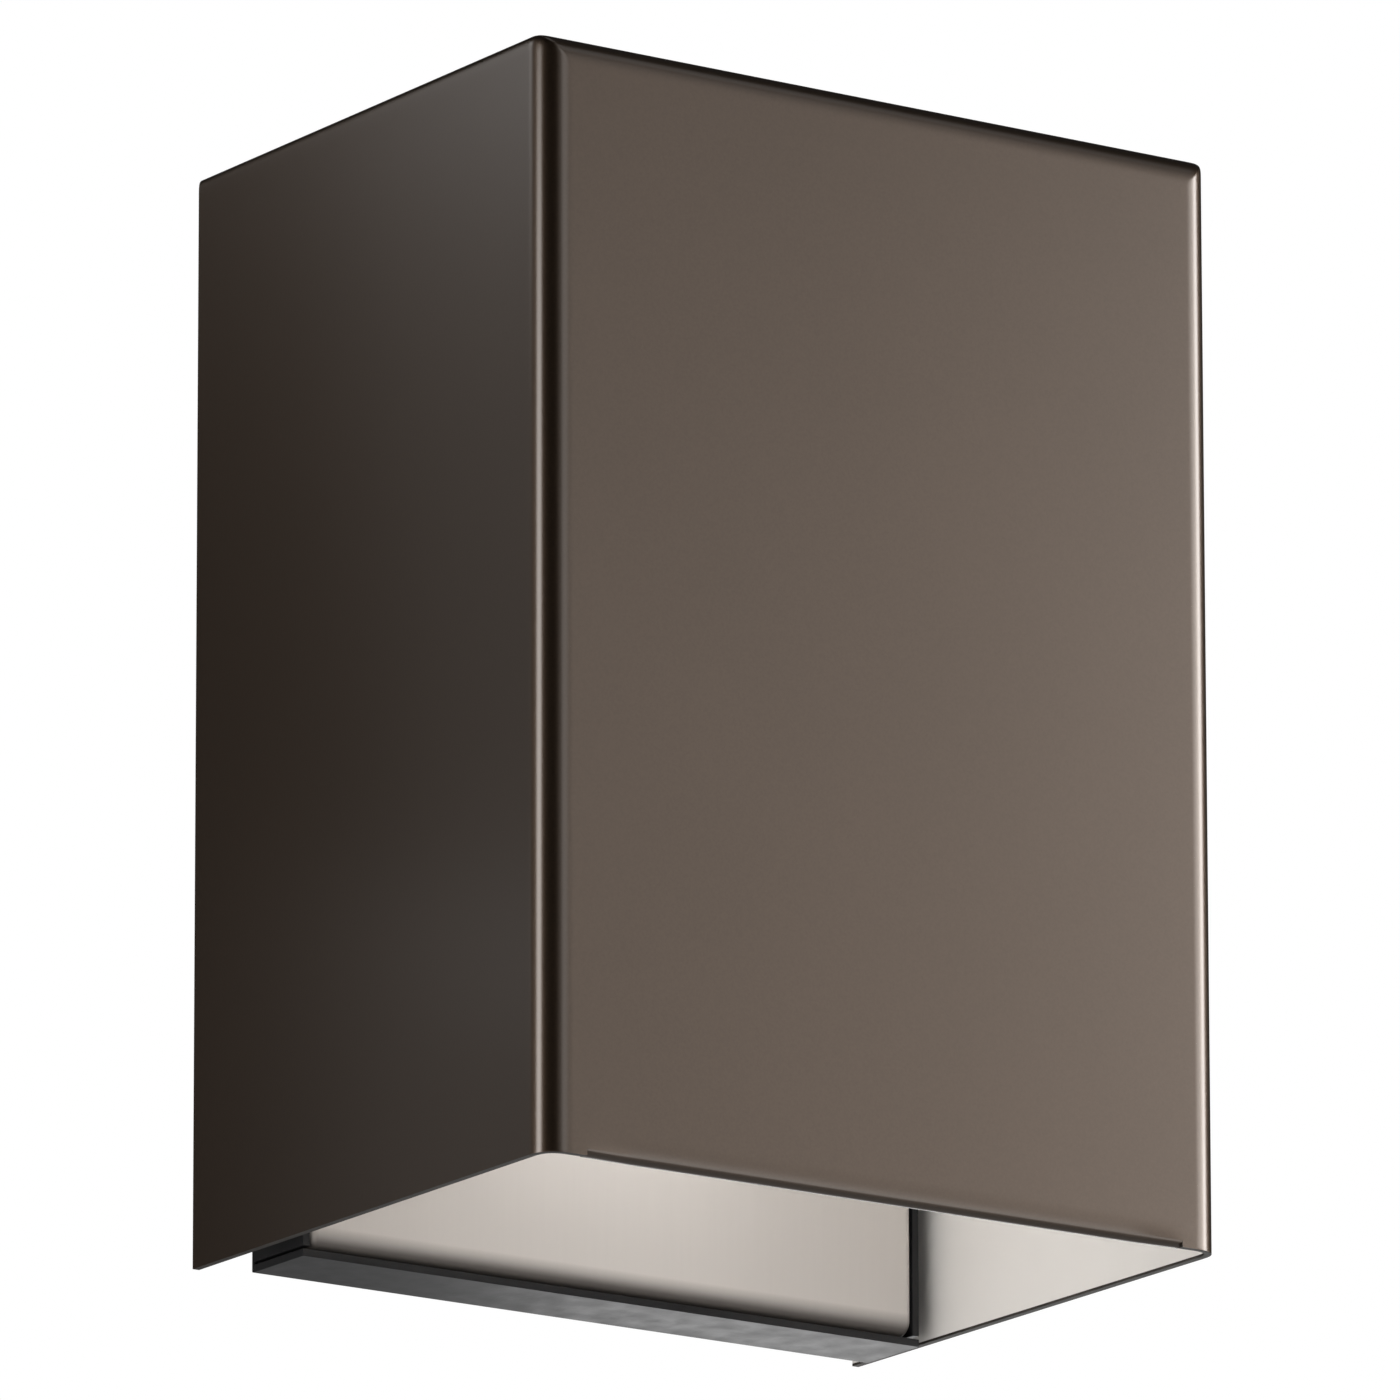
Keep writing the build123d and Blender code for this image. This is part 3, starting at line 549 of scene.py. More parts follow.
def cut_all(bm, point, normal):
    """Cuts every face with a plane, and keeps both sides."""
    geometry = list(bm.verts) + list(bm.edges) + list(bm.faces)
    bmesh.ops.bisect_plane(bm, geom=geometry, plane_co=point, plane_no=normal)


def tighten_seams(bm, low, high):
    """The upright folds run up to the top, which meets folds and sides in a tight seam."""
    for vert in bm.verts:
        over_x = max(0.0, abs(vert.co.x) - (high.x - COVER_FOLD)) / COVER_FOLD
        over_y = max(0.0, low.y + COVER_FOLD - vert.co.y) / COVER_FOLD
        over_z = max(0.0, vert.co.z - (high.z - COVER_FOLD)) / COVER_FOLD
        if over_x == 0.0 or over_z == 0.0:
            continue
        # Points crowd towards the diagonal, where the seam turns
        lean = math.atan2(over_z, over_x) / (math.pi / 4) - 1
        angle = (1 + math.copysign(abs(lean) ** SEAM_CROWDING, lean)) * math.pi / 4
        reach = math.hypot(over_x, over_z)
        over_x, over_z = reach * math.cos(angle), reach * math.sin(angle)
        # Then they move out to a surface that is tight between side and top, and folds towards the front
        across = (over_x ** SEAM_POWER + over_z ** SEAM_POWER) ** (FOLD_POWER / SEAM_POWER)
        scale = (across + over_y ** FOLD_POWER) ** (-1 / FOLD_POWER)
        vert.co.x = math.copysign(high.x - COVER_FOLD * (1 - scale * over_x), vert.co.x)
        vert.co.z = high.z - COVER_FOLD * (1 - scale * over_z)
        if over_y > 0.0:
            vert.co.y = low.y + COVER_FOLD * (1 - scale * over_y)


def front_faces(bm, y):
    """Flat faces of the cover's front."""
    return [f for f in bm.faces if f.normal.y < -FACING and abs(f.calc_center_median().y - y) < TINY]


def hem_route(lean):
    """Points (inward, upward) of the hem's section below its start, which leans in before it rolls up."""
    lean_step = HEM_LEAN_LENGTH / HEM_STEPS
    steps = [(lean * (k + 0.5) / HEM_STEPS, lean_step) for k in range(HEM_STEPS)]
    turn = (math.pi - lean) / HEM_STEPS
    steps += [(lean + turn * (k + 0.5), HEM_ROUND * turn) for k in range(HEM_STEPS)]
    inward, upward, route = 0.0, 0.0, []
    for angle, length in steps:
        inward += length * math.sin(angle)
        upward -= length * math.cos(angle)
        route.append((inward, upward))
    stretch = -HEM_DROP / min(upward for inward, upward in route)
    return [(inward, upward * stretch) for inward, upward in route]


def add_hem(bm, low, high):
    """Folds the front's lower edge in and up, short of both side folds. Its lean fades out at both ends."""
    start_z = low.z + HEM_DROP
    half = (high.x - low.x) / 2 - HEM_INSET
    # The flat corners are cut at the hem's own rows, so that both meet point to point
    levels = [start_z] + [start_z + upward for inward, upward in hem_route(0.0)[:HEM_STEPS]]
    cuts = [(Vector((side * half, 0, 0)), Vector((1, 0, 0))) for side in (-1, 1)]
    cuts += [(Vector((0, 0, level)), Vector(UPWARD)) for level in levels]
    for point, normal in cuts:
        for face in front_faces(bm, low.y):
            geometry = list(face.verts) + list(face.edges) + [face]
            bmesh.ops.bisect_plane(bm, geom=geometry, plane_co=point, plane_no=normal)
    strip = [
        f for f in front_faces(bm, low.y)
        if f.calc_center_median().z < start_z and abs(f.calc_center_median().x) < half
    ]
    bmesh.ops.delete(bm, geom=strip, context="FACES")

    def at_start(vert):
        level = abs(vert.co.y - low.y) < TINY and abs(vert.co.z - start_z) < TINY
        return level and abs(vert.co.x) < half + TINY

    edges = [e for e in bm.edges if e.is_boundary and all(at_start(v) for v in e.verts)]
    for step in range(1, HEM_EASE_STEPS + 1):
        for side in (-1, 1):
            x = side * (half - HEM_EASE * step / HEM_EASE_STEPS)
            crossed = [e for e in edges if (e.verts[0].co.x - x) * (e.verts[1].co.x - x) < 0][0]
            first, second = crossed.verts
            part = (x - first.co.x) / (second.co.x - first.co.x)
            edges.append(bmesh.utils.edge_split(crossed, first, part)[0])

    def section_at(x):
        reach = min(1.0, (half - abs(x)) / HEM_EASE)
        lean = HEM_LEAN * reach * reach * (3 - 2 * reach)
        points = [(low.y + inward, start_z + upward) for inward, upward in hem_route(lean)]
        return points + [(points[-1][0], low.z + HEM_HEIGHT)]

    for row in range(2 * HEM_STEPS + 1):
        made = bmesh.ops.extrude_edge_only(bm, edges=edges)["geom"]
        fresh = {g for g in made if isinstance(g, bmesh.types.BMVert)}
        for vert in fresh:
            vert.co.y, vert.co.z = section_at(vert.co.x)[row]
        edges = [g for g in made if isinstance(g, bmesh.types.BMEdge) and fresh.issuperset(g.verts)]


def screw_hole_cutter():
    """Two upright pegs where the screws pass through the cover's top."""
    bm = bmesh.new()
    for screw in ("cover_screw_left", "cover_screw_right"):
        low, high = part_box(screw)
        centre = (low + high) / 2
        made = bmesh.ops.create_cone(
            bm, cap_ends=True, segments=SCREW_HOLE_SIDES,
            radius1=SCREW_HOLE_R, radius2=SCREW_HOLE_R, depth=SCREW_HOLE_DEPTH,
        )
        bmesh.ops.translate(bm, vec=(centre.x, centre.y, cover_high.z), verts=made["verts"])
    return new_piece("screw_hole_cutter", bm, [finishes["edge"]])


def make_cover():
    """Folded cover: bronze outside, pale inside, with a hemmed lower front edge."""
    backward = Vector((0, 1, 0))
    bm = folded_box(cover_low, cover_high, [backward, Vector(DOWNWARD)])
    tighten_seams(bm, cover_low, cover_high)
    add_hem(bm, cover_low, cover_high)
    cut_all(bm, Vector((0, 0, cover_low.z + PAINT_LAP)), Vector(UPWARD))
    bmesh.ops.remove_doubles(bm, verts=bm.verts, dist=TINY)
    piece = new_piece("cover", bm, [finishes["bronze"], finishes["pale"], finishes["edge"]])
    inside, edge = 1, 2
    wall = piece.modifiers.new("sheet", "SOLIDIFY")
    wall.thickness = COVER_SHEET
    wall.offset = -1.0
    wall.use_even_offset = True
    wall.material_offset = inside
    wall.material_offset_rim = edge
    settle(piece)
    for polygon in piece.data.polygons:
        if polygon.material_index == inside and polygon.center.z < cover_low.z + PAINT_LAP:
            polygon.material_index = edge
    cutter = screw_hole_cutter()
    holes = piece.modifiers.new("holes", "BOOLEAN")
    holes.object = cutter
    holes.solver = "EXACT"
    soften(piece, EDGE_SOFT)
    bpy.data.objects.remove(cutter)
    return stand_for(piece, "cover_shell")


# Solids with softened edges


def dress(node, finish, width):
    """A copy of a node's solids with small rounds on their edges."""
    bm = bmesh.new()
    bm.from_mesh(nodes[node].data)
    bmesh.ops.remove_doubles(bm, verts=bm.verts, dist=TINY)
    bmesh.ops.dissolve_limit(bm, angle_limit=FLAT_ANGLE, verts=bm.verts, edges=bm.edges)
    piece = new_piece(f"{node}_piece", bm, [finishes[finish]])
    soften(piece, width)
    return stand_for(piece, node)


# Foam ring


def ring_points(half_x, half_z, centre_z, radius):
    """Points of an upright rounded rectangle: an arc at each corner, and straight runs between them."""
    steps = GASKET_STEPS
    corners = []
    for turn, (sign_x, sign_z) in enumerate(((1, 1), (-1, 1), (-1, -1), (1, -1))):
        middle = Vector((sign_x * (half_x - radius), 0, centre_z + sign_z * (half_z - radius)))
        for step in range(steps + 1):
            angle = math.radians(90 * turn + 90 * step / steps)
            corners.append(middle + radius * Vector((math.cos(angle), 0, math.sin(angle))))
    points = []
    for index, point in enumerate(corners):
        points.append(point)
        if index % (steps + 1) == steps:
            following = corners[(index + 1) % len(corners)]
            points += [point.lerp(following, k / (2 * steps)) for k in range(1, 2 * steps)]
    return points


def make_gasket():
    """Foam ring squeezed between the tray and the wall: flat on both, rounded at its sides."""
    low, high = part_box("wall_gasket")
    half_x, half_z = (high.x - low.x) / 2, (high.z - low.z) / 2
    centre_z, depth = (high.z + low.z) / 2, high.y - low.y
    outer = ring_points(half_x, half_z, centre_z, GASKET_CORNER)
    inner = ring_points(half_x - GASKET_WIDTH, half_z - GASKET_WIDTH, centre_z, GASKET_INNER_CORNER)
    bm = bmesh.new()
    rings = []
    for out_point, in_point in zip(outer, inner):
        ring = []
        for k in range(GASKET_SECTION):
            angle = 2 * math.pi * k / GASKET_SECTION
            across = math.copysign(abs(math.cos(angle)) ** (2 / GASKET_SQUARENESS), math.cos(angle))
            along = math.copysign(abs(math.sin(angle)) ** (2 / GASKET_SQUARENESS), math.sin(angle))
            point = in_point.lerp(out_point, (1 + across) / 2)
            dent = FOAM_DENT * max(0.0, noise.noise(point * FOAM_DENT_SCALE)) * abs(across)
            towards = (in_point + out_point) / 2 - point
            point = point + towards.normalized() * dent
            point.y = low.y + depth * (1 + along) / 2
            ring.append(bm.verts.new(point))
        rings.append(ring)
    for ring, following in zip(rings, rings[1:] + rings[:1]):
        for k in range(GASKET_SECTION):
            after = (k + 1) % GASKET_SECTION
            bm.faces.new((ring[k], ring[after], following[after], following[k]))
    bmesh.ops.recalc_face_normals(bm, faces=bm.faces)
    piece = new_piece("gasket_ring", bm, [finishes["foam"]])
    piece.data.shade_smooth()
    stand_for(piece, "wall_gasket")


# Repeated pieces from geometry nodes


class Recipe:
    """A geometry node tree with named sizes, and short calls for its nodes."""

    def __init__(self, name):
        self.tree = bpy.data.node_groups.new(name, "GeometryNodeTree")
        for way in ("INPUT", "OUTPUT"):
            self.tree.interface.new_socket("Geometry", in_out=way, socket_type="NodeSocketGeometry")
        self.given = self.tree.nodes.new("NodeGroupInput")
        self.result = self.tree.nodes.new("NodeGroupOutput")
        self.keys = {}

    def size(self, name):
        """A named length, set on the modifier."""
        socket = self.tree.interface.new_socket(name, in_out="INPUT", socket_type="NodeSocketFloat")
        self.keys[name] = socket.identifier
        return self.given.outputs[name]

    def node(self, kind, inputs=(), **settings):
        made = self.tree.nodes.new(kind)
        for key, value in settings.items():
            setattr(made, key, value)
        for socket, value in dict(inputs).items():
            if isinstance(value, bpy.types.NodeSocket):
                self.tree.links.new(value, made.inputs[socket])
            else:
                made.inputs[socket].default_value = value
        return made

    def math(self, operation, first, second=0.0):
        made = self.node("ShaderNodeMath", {0: first, 1: second}, operation=operation)
        return made.outputs[0]

    def vector(self, x, y, z):
        return self.node("ShaderNodeCombineXYZ", {0: x, 1: y, 2: z}).outputs[0]

    def moved(self, geometry, place=(0, 0, 0), turn=(0, 0, 0), scale=(1, 1, 1)):
        inputs = {"Geometry": geometry, "Translation": place, "Rotation": turn, "Scale": scale}
        return self.node("GeometryNodeTransform", inputs).outputs[0]

    def joined(self, *parts):
        made = self.node("GeometryNodeJoinGeometry")
        for part in reversed(parts):
            self.tree.links.new(part, made.inputs[0])
        return made.outputs[0]

    def cylinder(self, radius, depth, sides=32):
        inputs = {"Vertices": sides, "Radius": radius, "Depth": depth}
        return self.node("GeometryNodeMeshCylinder", inputs).outputs["Mesh"]

    def cube(self, size):
        return self.node("GeometryNodeMeshCube", {"Size": size}).outputs["Mesh"]

    def cut(self, body, *cutters, operation="DIFFERENCE"):
        made = self.node("GeometryNodeMeshBoolean", operation=operation, solver="EXACT")
        made.inputs["Self Intersection"].default_value = True
        if operation == "DIFFERENCE":
            self.tree.links.new(body, made.inputs["Mesh 1"])
        else:
            self.tree.links.new(body, made.inputs["Mesh 2"])
        for cutter in cutters:
            self.tree.links.new(cutter, made.inputs["Mesh 2"])
        return made.outputs["Mesh"]

    def dome(self, radius, height, power, around=40, along=10):
        """Closed round cap on the level plane, with a flat underside."""
        grid = self.node("GeometryNodeMeshGrid", {
            "Size X": 1.0, "Size Y": 1.0, "Vertices X": around + 1, "Vertices Y": along + 1,
        }).outputs["Mesh"]
        place = self.node("ShaderNodeSeparateXYZ", {0: self.node("GeometryNodeInputPosition").outputs[0]})
        turn = self.math("MULTIPLY", place.outputs[0], 2 * math.pi)
        lean = self.math("MULTIPLY", self.math("ADD", place.outputs[1], 0.5), math.pi / 2)
        reach = self.math("POWER", self.math("ABSOLUTE", self.math("COSINE", lean)), power)
        rise = self.math("POWER", self.math("SINE", lean), power)
        reach = self.math("MULTIPLY", reach, radius)
        shape = self.vector(
            self.math("MULTIPLY", reach, self.math("COSINE", turn)),
            self.math("MULTIPLY", reach, self.math("SINE", turn)),
            self.math("MULTIPLY", rise, height),
        )
        cap = self.node("GeometryNodeSetPosition", {"Geometry": grid, "Position": shape}).outputs[0]
        disc = self.node(
            "GeometryNodeMeshCircle", {"Vertices": around, "Radius": radius}, fill_type="NGON"
        ).outputs[0]
        disc = self.moved(disc, turn=(math.pi, 0, 0))
        both = self.joined(cap, disc)
        return self.node("GeometryNodeMergeByDistance", {"Geometry": both, "Distance": TINY}).outputs[0]

    def thread(self, radius, length, pitch):
        """Threaded rod hanging down from the level plane."""
        ridge = self.math("MULTIPLY", pitch, THREAD_RIDGE)
        inner = self.math("SUBTRACT", radius, ridge)
        height = self.math("SUBTRACT", length, pitch)
        spiral = self.node("GeometryNodeCurveSpiral", {
            "Resolution": 20, "Rotations": self.math("DIVIDE", height, pitch),
            "Start Radius": inner, "End Radius": inner, "Height": height,
        }).outputs[0]
        tooth = self.node(
            "GeometryNodeCurvePrimitiveCircle", {"Resolution": 4, "Radius": ridge}
        ).outputs[0]
        coil = self.node(
            "GeometryNodeCurveToMesh", {"Curve": spiral, "Profile Curve": tooth, "Fill Caps": True}
        ).outputs[0]
        half = self.math("MULTIPLY", pitch, 0.5)
        coil = self.moved(coil, self.vector(0.0, 0.0, self.math("SUBTRACT", half, length)))
        core = self.cylinder(inner, length, sides=24)
        core = self.moved(core, self.vector(0.0, 0.0, self.math("MULTIPLY", length, -0.5)))
        return self.joined(core, coil)

    def repeat(self, part, spin_seed=None):
        """One copy of the part at each point that is given."""
        inputs = {"Points": self.given.outputs["Geometry"], "Instance": part}
        if spin_seed is not None:
            spin = self.node("FunctionNodeRandomValue", {"Min": 0.0, "Max": math.pi, "Seed": spin_seed})
            spin_angle = [s for s in spin.outputs if s.type == "VALUE" and s.enabled][0]
            inputs["Rotation"] = self.vector(0.0, 0.0, spin_angle)
        return self.node("GeometryNodeInstanceOnPoints", inputs).outputs[0]

    def finish(self, geometry, finish):
        real = self.node("GeometryNodeRealizeInstances", {"Geometry": geometry}).outputs[0]
        dressed = self.node("GeometryNodeSetMaterial", {"Geometry": real, "Material": finishes[finish]})
        self.tree.links.new(dressed.outputs[0], self.result.inputs[0])


def grow(name, recipe, sizes, places, outward, node, origin=(0, 0, 0)):
    """Runs a recipe at level places about an origin, then turns it so that up becomes outward."""
    bm = bmesh.new()
    turn = Vector(UPWARD).rotation_difference(Vector(outward)).to_matrix().to_4x4()
    for place in places:
        bm.verts.new(turn.inverted() @ (Vector(place) - Vector(origin)))
    piece = new_piece(name, bm, [])
    recipe_modifier = piece.modifiers.new("recipe", "NODES")
    recipe_modifier.node_group = recipe.tree
    for size, value in sizes.items():
        recipe_modifier[recipe.keys[size]] = value
    settle(piece)
    piece.data.transform(Matrix.Translation(origin) @ turn)
    piece.data.shade_smooth()
    piece.data.set_sharp_from_angle(angle=SHADE_ANGLE)
    return stand_for(piece, node)


def screw_recipe(name, finish, recess):
    """Screw along Z: a rounded head with a recess, and a threaded shank below it."""
    r = Recipe(name)
    head_r, head_height = r.size("Head Radius"), r.size("Head Height")
    shank_r, shank_length = r.size("Shank Radius"), r.size("Shank Length")
    pitch = r.size("Pitch")
    head = r.dome(head_r, head_height, HEAD_POWER)
    depth = r.math("MULTIPLY", head_height, RECESS_CUT)
    if recess == "cross":
        length = r.math("MULTIPLY", head_r, CROSS_LENGTH)
        width = r.math("MULTIPLY", head_r, CROSS_WIDTH)
        cutters = [r.cube(r.vector(length, width, depth)), r.cube(r.vector(width, length, depth))]
    elif recess == "slot":
        length = r.math("MULTIPLY", head_r, SLOT_LENGTH)
        width = r.math("MULTIPLY", head_r, SLOT_WIDTH)
        cutters = [r.cube(r.vector(length, width, depth))]
    else:
        cutters = [r.cylinder(r.math("MULTIPLY", head_r, SOCKET_REACH), depth, sides=6)]
    cutters = [r.moved(cutter, r.vector(0.0, 0.0, head_height)) for cutter in cutters]
    whole = r.joined(r.cut(head, *cutters), r.thread(shank_r, shank_length, pitch))
    r.finish(r.repeat(whole, SCREW_SPIN_SEED), finish)
    return r


def nut_recipe(name, finish):
    """Hexagon nut on the level plane, its corners turned off at both ends."""
    r = Recipe(name)
    flats, thickness, bore_r = r.size("Flats"), r.size("Thickness"), r.size("Bore Radius")
    corner_r = r.math("DIVIDE", flats, math.sqrt(3))
    block = r.cylinder(corner_r, thickness, sides=6)
    ball = r.node("GeometryNodeMeshUVSphere", {"Segments": 48, "Rings": 24, "Radius": 1.0}).outputs["Mesh"]
    ball = r.moved(ball, scale=r.vector(corner_r, corner_r, r.math("MULTIPLY", thickness, NUT_TURNING)))
    turned = r.cut(block, ball, operation="INTERSECT")
    bored = r.cut(turned, r.cylinder(bore_r, r.math("MULTIPLY", thickness, 2.0), sides=28))
    lifted = r.moved(bored, r.vector(0.0, 0.0, r.math("MULTIPLY", thickness, 0.5)))
    r.finish(r.repeat(lifted), finish)
    return r


def stud_recipe():
    """Threaded rod below the level plane, with a low dome as its top end."""
    r = Recipe("threaded_stud")
    radius, length, pitch = r.size("Radius"), r.size("Length"), r.size("Pitch")
    tip_height = r.math("MULTIPLY", radius, STUD_TIP_HEIGHT)
    rod = r.moved(
        r.thread(radius, r.math("SUBTRACT", length, tip_height), pitch),
        r.vector(0.0, 0.0, r.math("MULTIPLY", tip_height, -1.0)),
    )
    tip_r = r.math("MULTIPLY", radius, STUD_TIP_REACH)
    tip = r.dome(tip_r, tip_height, STUD_TIP_POWER, around=24, along=5)
    tip = r.moved(tip, r.vector(0.0, 0.0, r.math("MULTIPLY", tip_height, -1.0)))
    r.finish(r.repeat(r.joined(rod, tip)), "zinc")
    return r


def rivet_recipe():
    """Blind rivet along Z: a bored head on the level plane, a plain shank and a domed tail."""
    r = Recipe("blind_rivet")
    head_r, head_height = r.size("Head Radius"), r.size("Head Height")
    shank_r, shank_length, tail = r.size("Shank Radius"), r.size("Shank Length"), r.size("Tail Height")
    bore_r = r.math("MULTIPLY", shank_r, RIVET_BORE_REACH)
    bore = r.cylinder(bore_r, r.math("MULTIPLY", head_height, RIVET_BORE_CUT), sides=20)
    bore = r.moved(bore, r.vector(0.0, 0.0, head_height))
    head = r.cut(r.dome(head_r, head_height, RIVET_POWER), bore)
    shank = r.cylinder(shank_r, shank_length)
    shank = r.moved(shank, r.vector(0.0, 0.0, r.math("MULTIPLY", shank_length, -0.5)))
    foot_place = r.vector(0.0, 0.0, r.math("MULTIPLY", shank_length, -1.0))
    foot = r.moved(r.dome(head_r, tail, RIVET_TAIL_POWER), foot_place, turn=(math.pi, 0, 0))
    r.finish(r.repeat(r.joined(head, shank, foot)), "aluminium")
    return r


def lens_recipe():
    """Clear disc with a low dome over each point, on its upper side."""
    r = Recipe("lens_array")
    disc_r, disc_height = r.size("Disc Radius"), r.size("Disc Height")
    dome_r, dome_height = r.size("Dome Radius"), r.size("Dome Height")
    disc = r.cylinder(disc_r, disc_height, sides=96)
    disc = r.moved(disc, r.vector(0.0, 0.0, r.math("MULTIPLY", disc_height, 0.5)))
    domes = r.repeat(r.dome(dome_r, dome_height, LENSLET_POWER, around=12, along=3))
    lifted = r.moved(domes, r.vector(0.0, 0.0, disc_height))
    r.finish(r.joined(disc, lifted), "lens")
    return r


def node_places(node, axis, level):
    """Middle of each separate solid of a node, moved to a level along one axis."""
    bm = bmesh.new()
    bm.from_mesh(nodes[node].data)
    bmesh.ops.remove_doubles(bm, verts=bm.verts, dist=TINY)
    left = set(bm.verts)
    places = []
    while left:
        group, reached = [], [left.pop()]
        while reached:
            vert = reached.pop()
            group.append(vert.co.copy())
            for edge in vert.link_edges:
                other = edge.other_vert(vert)
                if other in left:
                    left.remove(other)
                    reached.append(other)
        middle = Vector([(min(p[i] for p in group) + max(p[i] for p in group)) / 2 for i in range(3)])
        middle[axis] = level
        places.append(middle)
    bm.free()
    return sorted(places, key=lambda p: (round(p.x, 6), round(p.z, 6), round(p.y, 6)))


def add_screws(name, recipe, node, outward, head_r, head_height, shank_r):
    """Screws in place of a node's solids, as long as these, with their heads forward or upward."""
    low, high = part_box(node)
    if outward == UPWARD:
        axis, seat = 2, high.z - head_height
    else:
        axis, seat = 1, low.y + head_height
    sizes = {
        "Head Radius": head_r, "Head Height": head_height, "Shank Radius": shank_r,
        "Shank Length": high[axis] - low[axis] - head_height, "Pitch": THREAD_PITCH,
    }
    grow(name, recipe, sizes, node_places(node, axis, seat), outward, node)


def make_screws():
    """All screws, by their finish and recess."""
    cross = screw_recipe("cross_screw", "zinc", "cross")
    lid_sizes = (LID_HEAD_R, LID_HEAD_HEIGHT, LID_SCREW_R)
    add_screws("lid_screw_set", cross, "lid_screws", FORWARD, *lid_sizes)
    add_screws("lampholder_screw_set", cross, "lampholder_screws", UPWARD, *lid_sizes)
    block_sizes = (BLOCK_HEAD_R, BLOCK_HEAD_HEIGHT, BLOCK_SCREW_R)
    add_screws("terminal_fixing", cross, "terminal_fixing_screw", FORWARD, *block_sizes)

    green_cross = screw_recipe("earth_screw", "green", "cross")
    ground_sizes = (GROUND_HEAD_R, GROUND_HEAD_HEIGHT, GROUND_SCREW_R)
    add_screws("earth_screw", green_cross, "ground_screw", FORWARD, *ground_sizes)

    slotted = screw_recipe("slotted_screw", "brass", "slot")
    low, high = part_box("terminal_screws")
    terminal_sizes = (LID_SCREW_R, (high.y - low.y) * TERMINAL_HEAD_SHARE, LID_SCREW_R)
    add_screws("terminal_screw_set", slotted, "terminal_screws", FORWARD, *terminal_sizes)

    socket = screw_recipe("socket_screw", "bronze", "hexagon")
    cover_sizes = (COVER_HEAD_R, COVER_HEAD_HEIGHT, COVER_SCREW_R)
    for side in ("left", "right"):
        add_screws(f"socket_screw_{side}", socket, f"cover_screw_{side}", UPWARD, *cover_sizes)


def make_rivets():
    """Two rivets that hold the lamp's bracket to the lid."""
    low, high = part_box("bracket_rivets")
    sizes = {
        "Head Radius": RIVET_HEAD_R, "Head Height": RIVET_HEAD_HEIGHT, "Shank Radius": RIVET_R,
        "Shank Length": high.y - low.y - 2 * RIVET_HEAD_HEIGHT, "Tail Height": RIVET_HEAD_HEIGHT,
    }
    places = node_places("bracket_rivets", 1, low.y + RIVET_HEAD_HEIGHT)
    grow("rivet_pair", rivet_recipe(), sizes, places, FORWARD, "bracket_rivets")


def make_studs_and_nuts():
    """Two studs of the strap, with a lock nut behind the tray and a nut in front of it on each."""
    low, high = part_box("strap_studs")
    sizes = {"Radius": STUD_R, "Length": high.y - low.y, "Pitch": THREAD_PITCH}
    grow("stud_pair", stud_recipe(), sizes, node_places("strap_studs", 1, low.y), FORWARD, "strap_studs")
    hexagon = nut_recipe("hexagon_nut", "zinc")
    for node in ("tray_nuts", "stud_lock_nuts"):
        low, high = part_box(node)
        sizes = {"Flats": NUT_FLATS, "Thickness": high.y - low.y, "Bore Radius": STUD_R}
        grow(f"{node}_pair", hexagon, sizes, node_places(node, 1, high.y), FORWARD, node)


def make_lens():
    """Lens with a honeycomb of small domes on its lower face."""
    low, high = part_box("lamp_lens")
    centre, radius = (low + high) / 2, (high.x - low.x) / 2
    reach = radius - LENSLET_R - LENS_MARGIN
    row_step = LENSLET_STEP * math.sqrt(3) / 2
    rows = int(reach / row_step)
    places = []
    for row in range(-rows, rows + 1):
        for column in range(-rows - 1, rows + 2):
            x = (column + 0.5 * (row % 2)) * LENSLET_STEP
            y = row * row_step
            if math.hypot(x, y) < reach:
                places.append((centre.x + x, centre.y + y, high.z))
    sizes = {
        "Disc Radius": radius, "Disc Height": high.z - low.z - LENSLET_HEIGHT,
        "Dome Radius": LENSLET_R, "Dome Height": LENSLET_HEIGHT,
    }
    origin = (centre.x, centre.y, high.z)
    grow("lens", lens_recipe(), sizes, places, DOWNWARD, "lamp_lens", origin)


make_cover()
dress("base_tray", "black", TRAY_SOFT)
# Other solids that only have their edges softened: the finish of each
dressed_nodes = {
    "reflector_lid": "reflector",
    "clamp_bar": "zinc",
    "cover_washers": "rubber",
    "mounting_strap": "zinc",
    "tray_washers": "zinc",
    "cable_grommet": "rubber",
    "lead_grommet": "rubber",
    "terminal_block": "white",
    "lamp_bracket": "zinc",
    "lampholder": "ceramic",
    "lamp_housing": "aluminium",
    "led_board": "board",
    "lamp_base": "ceramic",
}
for node, finish in dressed_nodes.items():
    dress(node, finish, EDGE_SOFT)
make_gasket()
make_screws()
make_rivets()
make_studs_and_nuts()
make_lens()


# Studio


def aim(thing, target, roll=0.0):
    """Turns a lamp or camera to face a point."""
    direction = Vector(target) - thing.location
    thing.rotation_euler = direction.to_track_quat("-Z", "Y").to_euler()
    thing.rotation_euler.rotate_axis("Z", roll)


def add_camera():
    """Camera at the photograph's viewpoint."""
    data = bpy.data.cameras.new("camera")
    data.lens = VIEW_LENS
    data.sensor_width = VIEW_SENSOR
    data.clip_end = VIEW_END
    camera = bpy.data.objects.new("camera", data)
    bpy.context.scene.collection.objects.link(camera)
    towards = Vector((
        -math.sin(VIEW_TURN) * math.cos(VIEW_RISE),
        -math.cos(VIEW_TURN) * math.cos(VIEW_RISE),
        math.sin(VIEW_RISE),
    ))
    right = Vector((math.cos(VIEW_TURN), -math.sin(VIEW_TURN), 0.0))
    up = towards.cross(right)
    camera.location = cover_middle + towards * VIEW_DISTANCE
    aim(camera, cover_middle + right * AIM_RIGHT + up * AIM_UP, VIEW_ROLL)
    bpy.context.scene.camera = camera


